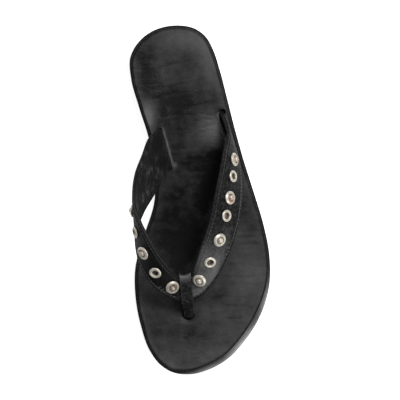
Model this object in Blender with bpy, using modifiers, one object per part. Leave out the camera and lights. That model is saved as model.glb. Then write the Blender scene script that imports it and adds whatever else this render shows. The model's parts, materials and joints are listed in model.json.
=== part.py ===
"""Toe post sandal for the left foot: moulded sole, insole board, a strap upper in a V, a looped toe post,
and a row of metal studs and eyelets on each arm of the strap. Heel at +Y, toe at -Y, outer side of the foot at +X."""

import math

import bmesh
import bpy
from mathutils import Matrix, Vector

MM = 0.001

# Sole sizes in millimetres
HEEL_TIP = (-3.8, 128.0)
TOE_TIP = (-15.0, -128.0)
FORE_DECK = 5.5
HEEL_DECK = 13.0
DECK_RISE = (-40.0, 70.0)
TOE_SPRING = 6.0
DECK_SPRING_START = -62.0
GROUND_SPRING_START = -72.0
ARCH_HEIGHT = 5.5
ARCH_SPAN = (-24.0, 58.0)
HEEL_DISH = 1.2
FORE_DISH = 0.4
DISH_RISE = (0.0, 70.0)
SEAT_GAP = 0.3
INSOLE_THICK = 3.2
GRID_ACROSS = 14
GRID_ALONG = 24

# Edge of the sole at stations from heel to toe, on the inner and outer side of the foot
OUTLINE_COLUMNS = ("station", "medial", "lateral")
OUTLINE = (
    (123.5, -23.6, 12.8),
    (117.0, -31.8, 19.4),
    (108.0, -37.5, 23.3),
    (92.0, -38.5, 27.0),
    (72.0, -35.0, 30.2),
    (48.0, -29.9, 33.9),
    (24.0, -27.6, 38.3),
    (0.0, -30.4, 43.5),
    (-24.0, -40.3, 48.3),
    (-46.0, -48.6, 50.4),
    (-68.0, -50.6, 48.4),
    (-90.0, -48.5, 39.6),
    (-108.0, -43.8, 25.8),
    (-119.0, -37.0, 13.2),
    (-125.5, -28.2, -0.8),
)

# Side of each layer from its upper face down: set in from the edge, and height from the named face
RIM_COLUMNS = ("face", "inset", "height")
OUTSOLE_RIM = (
    ("deck", 2.4, 0.0),
    ("deck", 1.1, -0.35),
    ("deck", 0.35, -1.1),
    ("deck", 0.0, -2.2),
    ("ground", 0.0, 1.2),
    ("ground", 0.9, 0.0),
)
INSOLE_RIM = (
    ("deck", 3.8, SEAT_GAP + INSOLE_THICK),
    ("deck", 2.9, SEAT_GAP + INSOLE_THICK - 0.4),
    ("deck", 2.5, SEAT_GAP + INSOLE_THICK - 1.2),
    ("deck", 2.5, SEAT_GAP),
)

# Strap sizes in millimetres
STRAP_THICK = 2.6
STRAP_CROWN = 0.9
STRAP_TAIL = 2.8
STRAP_EDGE_ROUND = 0.6
STRAP_STEPS = 3
STRAP_ACROSS = 5
CLEARANCE = 0.35

# Upper and lower edge of the strap, from the slit on the outer side, over the post, to the slit on the inner side
STRAP_COLUMNS = ("upper x", "upper y", "upper z", "lower x", "lower y", "lower z")
STRAP = (
    (26.4, 60.9, 16.2, 33.2, 34.8, 14.8),
    (27.6, 46.0, 34.5, 34.4, 28.2, 19.0),
    (25.0, 36.5, 41.0, 35.5, 19.7, 23.0),
    (20.5, 18.4, 48.0, 34.9, 1.2, 29.5),
    (14.4, 0.4, 52.0, 32.0, -15.2, 34.5),
    (9.2, -17.7, 53.0, 26.4, -31.3, 37.0),
    (2.4, -35.5, 48.5, 18.4, -47.3, 36.3),
    (-4.2, -50.6, 37.2, 6.1, -64.2, 31.2),
    (-8.2, -55.6, 31.0, -4.4, -72.3, 26.6),
    (-12.5, -56.4, 30.2, -12.9, -74.4, 25.0),
    (-16.8, -55.6, 31.4, -24.2, -71.0, 27.0),
    (-22.6, -50.0, 38.6, -36.0, -62.3, 31.2),
    (-30.4, -38.9, 47.5, -43.1, -50.7, 33.0),
    (-37.5, -24.5, 53.0, -46.6, -37.0, 32.8),
    (-42.2, -12.3, 54.0, -46.8, -27.0, 31.8),
    (-45.3, -2.0, 52.5, -45.2, -17.0, 29.8),
    (-45.1, 8.9, 49.0, -40.4, -7.4, 26.8),
    (-42.2, 22.5, 42.5, -32.4, 3.5, 23.0),
    (-36.3, 34.9, 34.5, -24.5, 13.4, 18.9),
    (-28.6, 48.0, 24.5, -19.0, 19.6, 15.8),
    (-20.7, 53.3, 15.9, -15.7, 23.2, 13.4),
)
POST_ROW = 9

# Metal fittings along each arm: distance from the post along the middle of the strap
FITTING_COLUMNS = ("kind", "lateral", "medial")
FITTINGS = (
    ("stud", 13.4, 11.0),
    ("eyelet", 30.8, 29.0),
    ("stud", 49.0, 46.4),
    ("eyelet", 67.2, 62.5),
    ("stud", 80.6, 79.0),
    ("eyelet", 97.0, 95.5),
    ("stud", 110.0, 109.5),
)
FITTING_SEAT = 0.2
FITTING_SIDES = 16

# Profiles from the axis outward: radius and height
STUD_PROFILE = (
    (0.0, 0.0),
    (4.7, 0.0),
    (5.0, 0.4),
    (4.5, 1.0),
    (3.5, 1.6),
    (2.6, 1.1),
    (2.1, 1.5),
    (1.6, 2.6),
    (0.9, 3.1),
    (0.0, 3.3),
)
EYELET_PROFILE = (
    (2.35, -1.2),
    (2.75, -1.2),
    (2.75, 0.0),
    (3.9, 0.0),
    (4.1, 0.45),
    (3.6, 1.05),
    (2.9, 1.2),
    (2.45, 0.8),
)
POCKET_RADIUS = 3.1
POCKET_DEPTH = 1.9

# Toe post sizes in millimetres
POST_X = -12.7
POST_WIDTH = 8.6
POST_LEATHER = 1.5
POST_HOLE_Y = -85.0
POST_TAIL_THICK = 4.2
POST_HOLE_LONG = 10.2
POST_HOLE_SHORT = 7.0
POST_TAIL_END = 2.8
POST_STATIONS = (-1.0, -0.86, -0.45, 0.0, 0.45, 0.86, 1.0)
POST_SIDE_ROUND = 0.45


def smooth(low, high, value):
    """Ease from 0 at low to 1 at high."""
    t = min(1.0, max(0.0, (value - low) / (high - low)))
    return t * t * (3.0 - 2.0 * t)


def slopes(points, closed=False):
    """Tangent at each point of a smooth curve, for chord lengths as its measure."""
    count = len(points)
    found = []
    for i in range(count):
        if closed:
            before = points[(i - 1) % count]
            after = points[(i + 1) % count]
        else:
            before = points[max(i - 1, 0)]
            after = points[min(i + 1, count - 1)]
        here = points[i]
        back = (here - before).length
        ahead = (after - here).length
        if back == 0.0:
            found.append((after - here) / ahead)
        elif ahead == 0.0:
            found.append((here - before) / back)
        else:
            mixed = (here - before) * (ahead / back) + (after - here) * (back / ahead)
            found.append(mixed / (back + ahead))
    return found


def between(a, b, slope_a, slope_b, t):
    """Point on the smooth curve from a to b."""
    chord = (b - a).length
    t2 = t * t
    t3 = t2 * t
    return (
        a * (2.0 * t3 - 3.0 * t2 + 1.0)
        + slope_a * (chord * (t3 - 2.0 * t2 + t))
        + b * (3.0 * t2 - 2.0 * t3)
        + slope_b * (chord * (t3 - t2))
    )


def outline_sides():
    """Fine points of the sole's edge from heel tip to toe tip, inner side and outer side."""
    inner = [Vector((row[1], row[0])) for row in OUTLINE]
    outer = [Vector((row[2], row[0])) for row in OUTLINE]
    ring = [Vector(HEEL_TIP)] + inner + [Vector(TOE_TIP)] + outer[::-1]
    ring_slopes = slopes(ring, closed=True)
    count = len(ring)
    fine = []
    for i in range(count):
        j = (i + 1) % count
        for k in range(10):
            fine.append(between(ring[i], ring[j], ring_slopes[i], ring_slopes[j], k / 10.0))
    turn = 10 * (len(inner) + 1)
    medial = fine[: turn + 1]
    lateral = [fine[0]] + fine[turn:][::-1]
    return medial, lateral


MEDIAL_EDGE, LATERAL_EDGE = outline_sides()


def edge_at(edge, station):
    """Where the edge crosses a station of the length."""
    for a, b in zip(edge, edge[1:]):
        if b.y <= station <= a.y and a.y > b.y:
            return a.x + (b.x - a.x) * (a.y - station) / (a.y - b.y)
    return edge[0].x if station > 0.0 else edge[-1].x


def deck(y, middle=0.0):
    """Top of the outsole; middle is 1 at the centre of the foot and 0 at the edge."""
    height = FORE_DECK + (HEEL_DECK - FORE_DECK) * smooth(DECK_RISE[0], DECK_RISE[1], y)
    if y < DECK_SPRING_START:
        share = (DECK_SPRING_START - y) / (DECK_SPRING_START - TOE_TIP[1])
        height += TOE_SPRING * share * share
    dish = FORE_DISH + (HEEL_DISH - FORE_DISH) * smooth(DISH_RISE[0], DISH_RISE[1], y)
    return height - dish * middle


def ground(y):
    """Underside of the outsole: flat under heel and ball, arched between, sprung at the toe."""
    height = 0.0
    if ARCH_SPAN[0] < y < ARCH_SPAN[1]:
        share = (y - ARCH_SPAN[0]) / (ARCH_SPAN[1] - ARCH_SPAN[0])
        height = ARCH_HEIGHT * math.sin(math.pi * share) ** 2
    if y < GROUND_SPRING_START:
        share = (GROUND_SPRING_START - y) / (GROUND_SPRING_START - TOE_TIP[1])
        height = TOE_SPRING * share * share
    return height


def insole_top(y):
    """Upper face of the insole along its middle line."""
    return deck(y) + SEAT_GAP + INSOLE_THICK


def plan_grid(inset):
    """Points of a sole layer in plan, with how near each is to the middle of the foot."""
    half = (HEEL_TIP[1] - TOE_TIP[1]) / 2.0
    reach = (half - inset) / half
    rows = []
    for j in range(GRID_ALONG + 1):
        v = 1.0 - 2.0 * j / GRID_ALONG
        row = []
        for i in range(GRID_ACROSS + 1):
            u = -1.0 + 2.0 * i / GRID_ACROSS
            along = v * math.sqrt(1.0 - u * u / 2.0)
            across = u * math.sqrt(1.0 - v * v / 2.0)
            station = half * along
            room = math.sqrt(max(1.0 - along * along, 1e-9))
            share = 0.5 + 0.5 * max(-1.0, min(1.0, across / room))
            low = edge_at(MEDIAL_EDGE, station)
            high = edge_at(LATERAL_EDGE, station)
            x = low + (high - low) * share
            centre = 0.5 * (low + high)
            width = max(high - low, 1e-6)
            draw = max(0.0, 1.0 - 2.0 * inset / width)
            row.append(((centre + (x - centre) * draw, station * reach), 1.0 - along * along - across * across))
        rows.append(row)
    return rows


def rim_loop():
    """Grid places around the edge of a layer, in order."""
    loop = [(0, i) for i in range(GRID_ACROSS)]
    loop += [(j, GRID_ACROSS) for j in range(GRID_ALONG)]
    loop += [(GRID_ALONG, i) for i in range(GRID_ACROSS, 0, -1)]
    loop += [(j, 0) for j in range(GRID_ALONG, 0, -1)]
    return loop


def face_height(face, y, middle):
    """Height of a named face of the sole."""
    return ground(y) if face == "ground" else deck(y, middle)


def sole_layer(name, rim):
    """A layer of the sole, lofted from its upper face around the rim to its lower face."""
    plan = plan_grid(rim[0][1])
    edge = plan_grid(0.0)
    loop = rim_loop()
    places = [Vector(edge[j][i][0]) for j, i in loop]
    count = len(places)
    outward = []
    for k in range(count):
        run = places[(k + 1) % count] - places[k - 1]
        outward.append(Vector((-run.y, run.x)).normalized())
    centre = Vector((sum(p.x for p in places) / count, sum(p.y for p in places) / count))
    if sum((places[k] - centre).dot(outward[k]) for k in range(count)) < 0.0:
        outward = [-side for side in outward]

    shape = bmesh.new()

    def vertex(x, y, z):
        return shape.verts.new((x * MM, y * MM, z * MM))

    rings = []
    for face, inset, height in rim:
        ring = []
        for place, side in zip(places, outward):
            spot = place - side * inset
            ring.append(vertex(spot.x, spot.y, face_height(face, spot.y, 0.0) + height))
        rings.append(ring)

    def cap(ring, face, height, flip):
        on_rim = {place: ring[k] for k, place in enumerate(loop)}
        grid = []
        for j in range(GRID_ALONG + 1):
            line = []
            for i in range(GRID_ACROSS + 1):
                if (j, i) in on_rim:
                    line.append(on_rim[(j, i)])
                else:
                    (x, y), middle = plan[j][i]
                    line.append(vertex(x, y, face_height(face, y, middle) + height))
            grid.append(line)
        for j in range(GRID_ALONG):
            for i in range(GRID_ACROSS):
                corners = [grid[j][i], grid[j + 1][i], grid[j + 1][i + 1], grid[j][i + 1]]
                shape.faces.new(corners[::-1] if flip else corners)

    cap(rings[0], rim[0][0], rim[0][2], False)
    cap(rings[-1], rim[-1][0], rim[-1][2], True)
    for upper, lower in zip(rings, rings[1:]):
        for k in range(count):
            n = (k + 1) % count
            shape.faces.new((upper[k], upper[n], lower[n], lower[k]))
    bmesh.ops.recalc_face_normals(shape, faces=shape.faces[:])
    return as_object(name, shape)


def as_object(name, shape):
    """Object from a finished shape."""
    mesh = bpy.data.meshes.new(name)
    shape.to_mesh(mesh)
    shape.free()
    return bpy.data.objects.new(name, mesh)


UPPER_EDGE = [Vector(row[:3]) for row in STRAP]
LOWER_EDGE = [Vector(row[3:]) for row in STRAP]
DOWN = Vector((0.0, 0.0, -STRAP_TAIL))
UPPER_EDGE = [UPPER_EDGE[0] + DOWN] + UPPER_EDGE + [UPPER_EDGE[-1] + DOWN]
LOWER_EDGE = [LOWER_EDGE[0] + DOWN] + LOWER_EDGE + [LOWER_EDGE[-1] + DOWN]
UPPER_SLOPES = slopes(UPPER_EDGE)
LOWER_SLOPES = slopes(LOWER_EDGE)
LAST_ROW = len(UPPER_EDGE) - 1
POST_AT = POST_ROW + 1.0


def edge_point(points, found, s):
    """Point on a strap edge at row number s, carried on straight past its ends."""
    if s < 0.0:
        return points[0] + (points[1] - points[0]) * s
    if s > LAST_ROW:
        return points[-1] + (points[-1] - points[-2]) * (s - LAST_ROW)
    i = min(int(s), LAST_ROW - 1)
    return between(points[i], points[i + 1], found[i], found[i + 1], s - i)


def strap_flat(s, t):
    """Straight line across the strap at row number s, t from 0 at the upper edge to 1 at the lower."""
    upper = edge_point(UPPER_EDGE, UPPER_SLOPES, s)
    lower = edge_point(LOWER_EDGE, LOWER_SLOPES, s)
    return upper + (lower - upper) * t


def strap_normal(s, t):
    """Direction out of the strap's face."""
    step = 0.04
    along = strap_flat(s + step, t) - strap_flat(s - step, t)
    across = strap_flat(s, 1.0) - strap_flat(s, 0.0)
    return along.cross(across).normalized()


def strap_point(s, t, lift=0.0):
    """Point on the outer face of the strap, or lifted off it."""
    body = smooth(1.0, 3.0, s) * smooth(LAST_ROW - 1.0, LAST_ROW - 3.0, s)
    crown = STRAP_CROWN * body * (1.0 - (2.0 * t - 1.0) ** 2)
    return strap_flat(s, t) + strap_normal(s, t) * (crown + lift)


def strap_band(name, first, last, steps, lift, depth, widen):
    """Closed length of strap between two row numbers, lifted, with a depth and widened at its edges."""
    shape = bmesh.new()
    outer = []
    inner = []
    for k in range(steps + 1):
        s = first + (last - first) * k / steps
        across = strap_flat(s, 1.0) - strap_flat(s, 0.0)
        margin = widen / across.length
        high = []
        low = []
        for i in range(STRAP_ACROSS + 1):
            t = -margin + (1.0 + 2.0 * margin) * i / STRAP_ACROSS
            high.append(shape.verts.new(strap_point(s, t, lift) * MM))
            low.append(shape.verts.new(strap_point(s, t, lift - depth) * MM))
        outer.append(high)
        inner.append(low)
    for k in range(steps):
        for i in range(STRAP_ACROSS):
            shape.faces.new((outer[k][i], outer[k + 1][i], outer[k + 1][i + 1], outer[k][i + 1]))
            shape.faces.new((inner[k][i + 1], inner[k + 1][i + 1], inner[k + 1][i], inner[k][i]))
        shape.faces.new((outer[k + 1][0], outer[k][0], inner[k][0], inner[k + 1][0]))
        shape.faces.new((outer[k][-1], outer[k + 1][-1], inner[k + 1][-1], inner[k][-1]))
    for k in (0, steps):
        for i in range(STRAP_ACROSS):
            corners = (outer[k][i], outer[k][i + 1], inner[k][i + 1], inner[k][i])
            shape.faces.new(corners if k == 0 else corners[::-1])
    bmesh.ops.recalc_face_normals(shape, faces=shape.faces[:])
    return as_object(name, shape)


def row_at_distance(distance, toward):
    """Row number at a distance from the post along the middle of the strap; toward is -1 or 1."""
    step = 0.02
    s = POST_AT
    gone = 0.0
    here = strap_point(s, 0.5)
    while gone < distance:
        s += toward * step
        there = strap_point(s, 0.5)
        gone += (there - here).length
        here = there
    return s


def row_at_x(x, t):
    """Row number where the line t along the strap crosses x, near the post."""
    low = POST_AT - 2.5
    high = POST_AT + 2.5
    for _ in range(40):
        mid = 0.5 * (low + high)
        if strap_flat(mid, t).x > x:
            low = mid
        else:
            high = mid
    return 0.5 * (low + high)


def post_profile(x, shrink):
    """Side outline of the toe post at x: over the strap, round its back edge, under it, and down to the hole."""
    wrap = CLEARANCE + POST_LEATHER - shrink
    top = []
    under = []
    for t in (1.0, 0.75, 0.5, 0.25, 0.0):
        s = row_at_x(x, t)
        top.append(strap_point(s, t, wrap))
        under.append(strap_point(s, t, -STRAP_THICK - wrap))
    s = row_at_x(x, 0.0)
    back = (strap_flat(s, 0.0) - strap_flat(s, 1.0)).normalized()
    fold = [
        strap_point(s, 0.0, wrap * 0.72) + back * (wrap * 0.75),
        strap_point(s, 0.0, -0.5 * STRAP_THICK) + back * wrap,
        strap_point(s, 0.0, -STRAP_THICK - wrap * 0.72) + back * (wrap * 0.75),
    ]
    s = row_at_x(x, 1.0)
    front = (strap_flat(s, 1.0) - strap_flat(s, 0.0)).normalized()
    nose = [
        strap_point(s, 1.0, -0.5 * STRAP_THICK) + front * wrap,
        strap_point(s, 1.0, wrap * 0.72) + front * (wrap * 0.75),
    ]
    half = 0.5 * POST_TAIL_THICK - shrink
    level = insole_top(POST_HOLE_Y)
    tail_front = [Vector((x, POST_HOLE_Y - half, level - POST_TAIL_END)), Vector((x, POST_HOLE_Y - half, level))]
    tail_back = [Vector((x, POST_HOLE_Y + half, level)), Vector((x, POST_HOLE_Y + half, level - POST_TAIL_END))]
    mid_front = nose[0].lerp(tail_front[1], 0.55) + Vector((0.0, 0.5, -0.3))
    mid_back = under[1].lerp(tail_back[0], 0.55) + Vector((0.0, -0.7, 0.9))
    outline = tail_front + [mid_front] + nose + top + fold + under[::-1][:4] + [mid_back] + tail_back
    return [Vector((x, point.y, point.z)) for point in outline]


def toe_post_body(name):
    """Body of the toe post, lofted across its width."""
    shape = bmesh.new()
    sections = []
    for station in POST_STATIONS:
        shrink = POST_SIDE_ROUND if abs(station) == 1.0 else 0.0
        x = POST_X + 0.5 * POST_WIDTH * station
        sections.append([shape.verts.new(point * MM) for point in post_profile(x, shrink)])
    count = len(sections[0])
    for a, b in zip(sections, sections[1:]):
        for k in range(count):
            n = (k + 1) % count
            shape.faces.new((a[k], a[n], b[n], b[k]))
    ends = [shape.faces.new(sections[0]), shape.faces.new(sections[-1][::-1])]
    bmesh.ops.triangulate(shape, faces=ends)
    bmesh.ops.recalc_face_normals(shape, faces=shape.faces[:])
    return as_object(name, shape)


def turned(name, profile, ring):
    """Turned metal piece from its profile; a ring profile closes on itself."""
    shape = bmesh.new()
    verts = [shape.verts.new((radius * MM, 0.0, height * MM)) for radius, height in profile]
    for a, b in zip(verts, verts[1:]):
        shape.edges.new((a, b))
    if ring:
        shape.edges.new((verts[-1], verts[0]))
    piece = as_object(name, shape)
    screw = piece.modifiers.new("Turn", "SCREW")
    screw.axis = "Z"
    screw.steps = FITTING_SIDES
    screw.render_steps = FITTING_SIDES
    screw.use_merge_vertices = True
    screw.merge_threshold = 0.00001
    screw.use_normal_calculate = True
    return piece


def seat_matrix(s, radius):
    """Placement on the middle of the strap at row number s, its axis out of the face, clear of it to a radius."""
    normal = strap_normal(s, 0.5)
    along = strap_flat(s + 0.05, 0.5) - strap_flat(s - 0.05, 0.5)
    side = normal.cross(along).normalized()
    along = side.cross(normal)
    turn = Matrix((along, side, normal)).transposed().to_4x4()
    middle = strap_point(s, 0.5)
    width = (strap_flat(s, 1.0) - strap_flat(s, 0.0)).length
    highest = 0.0
    for i in range(-12, 13):
        for t in (0.5 - radius / width, 0.5, 0.5 + radius / width):
            reach = strap_point(s + i * 0.1, t) - middle
            if reach.length <= radius + 0.5:
                highest = max(highest, reach.dot(normal))
    return Matrix.Translation((middle + normal * (highest + FITTING_SEAT)) * MM) @ turn


def cylinder(name, radius_x, radius_y, height, sides):
    """Upright cylinder about its middle."""
    shape = bmesh.new()
    bmesh.ops.create_cone(
        shape, cap_ends=True, segments=sides, radius1=MM, radius2=MM, depth=height * MM
    )
    bmesh.ops.scale(shape, vec=(radius_x, radius_y, 1.0), verts=shape.verts[:])
    return as_object(name, shape)


def material(name, colour, metallic, roughness):
    """Plain finish for a piece."""
    made = bpy.data.materials.new(name)
    made.use_nodes = True
    shader = made.node_tree.nodes["Principled BSDF"]
    shader.inputs["Base Color"].default_value = (colour[0], colour[1], colour[2], 1.0)
    shader.inputs["Metallic"].default_value = metallic
    shader.inputs["Roughness"].default_value = roughness
    return made


def cut(piece, cutter):
    """Take the cutter's shape out of a piece."""
    modifier = piece.modifiers.new("Cut " + cutter.name, "BOOLEAN")
    modifier.operation = "DIFFERENCE"
    modifier.solver = "EXACT"
    modifier.object = cutter


def keep(piece, collection, finish):
    """Put a piece in the sandal with its finish."""
    collection.objects.link(piece)
    piece.data.materials.append(finish)


def keep_cutter(piece, collection):
    """Put a cutting shape beside the sandal, out of sight."""
    collection.objects.link(piece)
    piece.hide_render = True
    piece.display_type = "WIRE"


def clear():
    """Start from an empty scene."""
    for item in list(bpy.data.objects):
        bpy.data.objects.remove(item, do_unlink=True)


def main():
    """Build the sandal."""
    clear()
    sandal = bpy.data.collections.new("toe_post_sandal")
    cutters = bpy.data.collections.new("cutting_shapes")
    bpy.context.scene.collection.children.link(sandal)
    bpy.context.scene.collection.children.link(cutters)

    sole_finish = material("black_rubber", (0.02, 0.02, 0.02), 0.0, 0.55)
    bed_finish = material("charcoal_leather", (0.05, 0.05, 0.055), 0.0, 0.5)
    strap_finish = material("black_leather", (0.02, 0.02, 0.022), 0.0, 0.4)
    metal_finish = material("nickel", (0.75, 0.73, 0.70), 1.0, 0.25)

    outsole = sole_layer("outsole", OUTSOLE_RIM)
    keep(outsole, sandal, sole_finish)

    insole = sole_layer("insole", INSOLE_RIM)
    keep(insole, sandal, bed_finish)
    lift = CLEARANCE
    depth = STRAP_THICK + 2.0 * CLEARANCE
    for name, first, last in (
        ("slit_lateral", -2.0, 1.5),
        ("slit_medial", LAST_ROW - 1.5, LAST_ROW + 2.0),
    ):
        slit = strap_band(name, first, last, 14, lift, depth, CLEARANCE)
        keep_cutter(slit, cutters)
        cut(insole, slit)
    hole = cylinder("post_hole", 0.5 * POST_HOLE_LONG, 0.5 * POST_HOLE_SHORT, 20.0, 20)
    hole.location = (POST_X * MM, POST_HOLE_Y * MM, insole_top(POST_HOLE_Y) * MM)
    keep_cutter(hole, cutters)
    cut(insole, hole)

    strap = strap_band("strap_upper", 0.0, LAST_ROW, LAST_ROW * STRAP_STEPS, 0.0, STRAP_THICK, 0.0)
    keep(strap, sandal, strap_finish)
    rounding = strap.modifiers.new("Edges", "BEVEL")
    rounding.width = STRAP_EDGE_ROUND * MM
    rounding.segments = 1
    rounding.limit_method = "ANGLE"
    rounding.angle_limit = math.radians(60.0)

    post = toe_post_body("toe_post")
    keep(post, sandal, strap_finish)
    loop = strap_band("post_loop", POST_AT - 2.2, POST_AT + 2.2, 22, lift, depth, CLEARANCE)
    keep_cutter(loop, cutters)
    cut(post, loop)

    for arm, toward in (("lateral", -1), ("medial", 1)):
        column = FITTING_COLUMNS.index(arm)
        numbers = {"stud": 0, "eyelet": 0}
        for row in FITTINGS:
            kind = row[0]
            numbers[kind] += 1
            label = "%s_%s_%d" % (kind, arm, numbers[kind])
            s = row_at_distance(row[column], toward)
            if kind == "stud":
                piece = turned(label, STUD_PROFILE, False)
                seat = seat_matrix(s, STUD_PROFILE[2][0])
            else:
                piece = turned(label, EYELET_PROFILE, True)
                seat = seat_matrix(s, EYELET_PROFILE[4][0])
                pocket = cylinder("pocket_%s_%d" % (arm, numbers[kind]), POCKET_RADIUS, POCKET_RADIUS,
                                  2.0 * POCKET_DEPTH, FITTING_SIDES)
                pocket.matrix_world = seat
                keep_cutter(pocket, cutters)
                cut(strap, pocket)
            piece.matrix_world = seat
            keep(piece, sandal, metal_finish)


main()
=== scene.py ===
"""Looks of the toe post sandal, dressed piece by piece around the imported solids.

A moulded outsole, a leather footbed with two slits and a hole, a lined and stitched strap in a V, a looped
toe post, and nickel studs and eyelets along both arms of the strap. Tables are in millimetres, meshes are in
metres. The heel is at +Y, the toe at -Y and the outer side of the foot at +X.
"""

import json
import logging
import math
from abc import ABC, abstractmethod
from dataclasses import dataclass, field
from enum import Enum
from typing import Any, ClassVar, NamedTuple, Sequence

import bmesh
import bpy
import numpy as np
from mathutils import Matrix, Vector

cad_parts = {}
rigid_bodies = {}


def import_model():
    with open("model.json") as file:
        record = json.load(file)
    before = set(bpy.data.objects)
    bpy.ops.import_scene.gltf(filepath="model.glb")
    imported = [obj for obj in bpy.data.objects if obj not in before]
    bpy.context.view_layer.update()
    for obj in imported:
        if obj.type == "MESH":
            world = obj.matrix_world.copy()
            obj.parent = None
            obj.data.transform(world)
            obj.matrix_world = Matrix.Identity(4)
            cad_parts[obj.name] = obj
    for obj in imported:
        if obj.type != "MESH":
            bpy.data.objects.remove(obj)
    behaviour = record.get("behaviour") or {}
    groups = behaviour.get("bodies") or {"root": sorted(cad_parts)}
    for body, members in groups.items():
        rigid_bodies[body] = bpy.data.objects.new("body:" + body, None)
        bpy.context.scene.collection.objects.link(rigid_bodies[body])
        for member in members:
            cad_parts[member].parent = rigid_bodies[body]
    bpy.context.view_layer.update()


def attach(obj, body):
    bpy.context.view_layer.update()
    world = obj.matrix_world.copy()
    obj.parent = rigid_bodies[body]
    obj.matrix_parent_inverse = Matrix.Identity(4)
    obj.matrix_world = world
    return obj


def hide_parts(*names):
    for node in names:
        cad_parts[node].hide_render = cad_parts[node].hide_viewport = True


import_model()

Array = np.ndarray
Mesh = bpy.types.Mesh
Socket = bpy.types.NodeSocket
Pair = tuple[float, float]
Triple = tuple[float, float, float]
Colour = tuple[float, float, float, float]
Feed = Any

MM = 0.001
BODY = "root"
CREASE_FADE: Pair = (-0.05, 0.3)
CREASE_SHOULDER = 0.9
log = logging.getLogger("sandal")


class Slot(Enum):
    """Finish slots of the record."""

    SOLE = "sole"
    FOOTBED = "footbed"
    STRAP = "strap"
    METAL = "metal"


class Arm(Enum):
    """Arms of the strap, with the way that its row numbers run from the post."""

    LATERAL = -1
    MEDIAL = 1


class FittingKind(Enum):
    """Kinds of metal fitting on the strap."""

    STUD = "stud"
    EYELET = "eyelet"


class Crease(NamedTuple):
    """Soft trough between two ends, bowed sideways; a negative depth gives a ridge."""

    start: Pair
    end: Pair
    bow: float
    depth: float
    width: float


class Swell(NamedTuple):
    """Soft rise about a centre, turned in degrees; a negative height gives a hollow."""

    centre: Pair
    reach: Pair
    turn: float
    height: float


def ease(low: float, high: float, value: Array) -> Array:
    """Ease from 0 at low to 1 at high.

    Args:
        low: Value that gives 0.
        high: Value that gives 1.
        value: Values to ease.

    Returns:
        Shares from 0 to 1.
    """
    share = np.clip((np.asarray(value, float) - low) / (high - low), 0.0, 1.0)
    return share * share * (3.0 - 2.0 * share)


def bell(value: Array, centre: float, width: float) -> Array:
    """Smooth bump of height 1 about a centre."""
    return np.exp(-(((value - centre) / width) ** 2))


def full_turn(sides: int) -> Array:
    """Angles of points spaced evenly around a circle."""
    return np.linspace(0.0, 2.0 * math.pi, sides + 1)[:-1]


def gone_along(points: Array) -> Array:
    """Distance gone along a line at each of its points."""
    return np.concatenate([[0.0], np.cumsum(np.linalg.norm(np.diff(points, axis=0), axis=1))])


def creased(creases: Sequence[Crease], x: Array, y: Array) -> Array:
    """Height that creases add to a surface.

    Args:
        creases: Creases in the surface's own sizes.
        x: First measure of each point.
        y: Second measure of each point.

    Returns:
        Heights, with low shoulders beside each trough.
    """
    height = np.zeros(np.broadcast(x, y).shape)
    for crease in creases:
        run = np.subtract(crease.end, crease.start)
        length = math.hypot(*run)
        ahead = run / length
        dx = x - crease.start[0]
        dy = y - crease.start[1]
        along = (dx * ahead[0] + dy * ahead[1]) / length
        off = dy * ahead[0] - dx * ahead[1] - crease.bow * 4.0 * along * (1.0 - along)
        ends = ease(*CREASE_FADE, along) * ease(*CREASE_FADE, 1.0 - along)
        near = (off / crease.width) ** 2
        height -= crease.depth * ends * (1.0 - CREASE_SHOULDER * near) * np.exp(-near)
    return height


def swollen(swells: Sequence[Swell], x: Array, y: Array) -> Array:
    """Height that swells and hollows add to a surface.

    Args:
        swells: Swells in the surface's own sizes.
        x: First measure of each point.
        y: Second measure of each point.

    Returns:
        Heights.
    """
    height = np.zeros(np.broadcast(x, y).shape)
    for swell in swells:
        turn = math.radians(swell.turn)
        dx = x - swell.centre[0]
        dy = y - swell.centre[1]
        u = (dx * math.cos(turn) + dy * math.sin(turn)) / swell.reach[0]
        v = (dy * math.cos(turn) - dx * math.sin(turn)) / swell.reach[1]
        height += swell.height * np.exp(-u * u - v * v)
    return height


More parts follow.
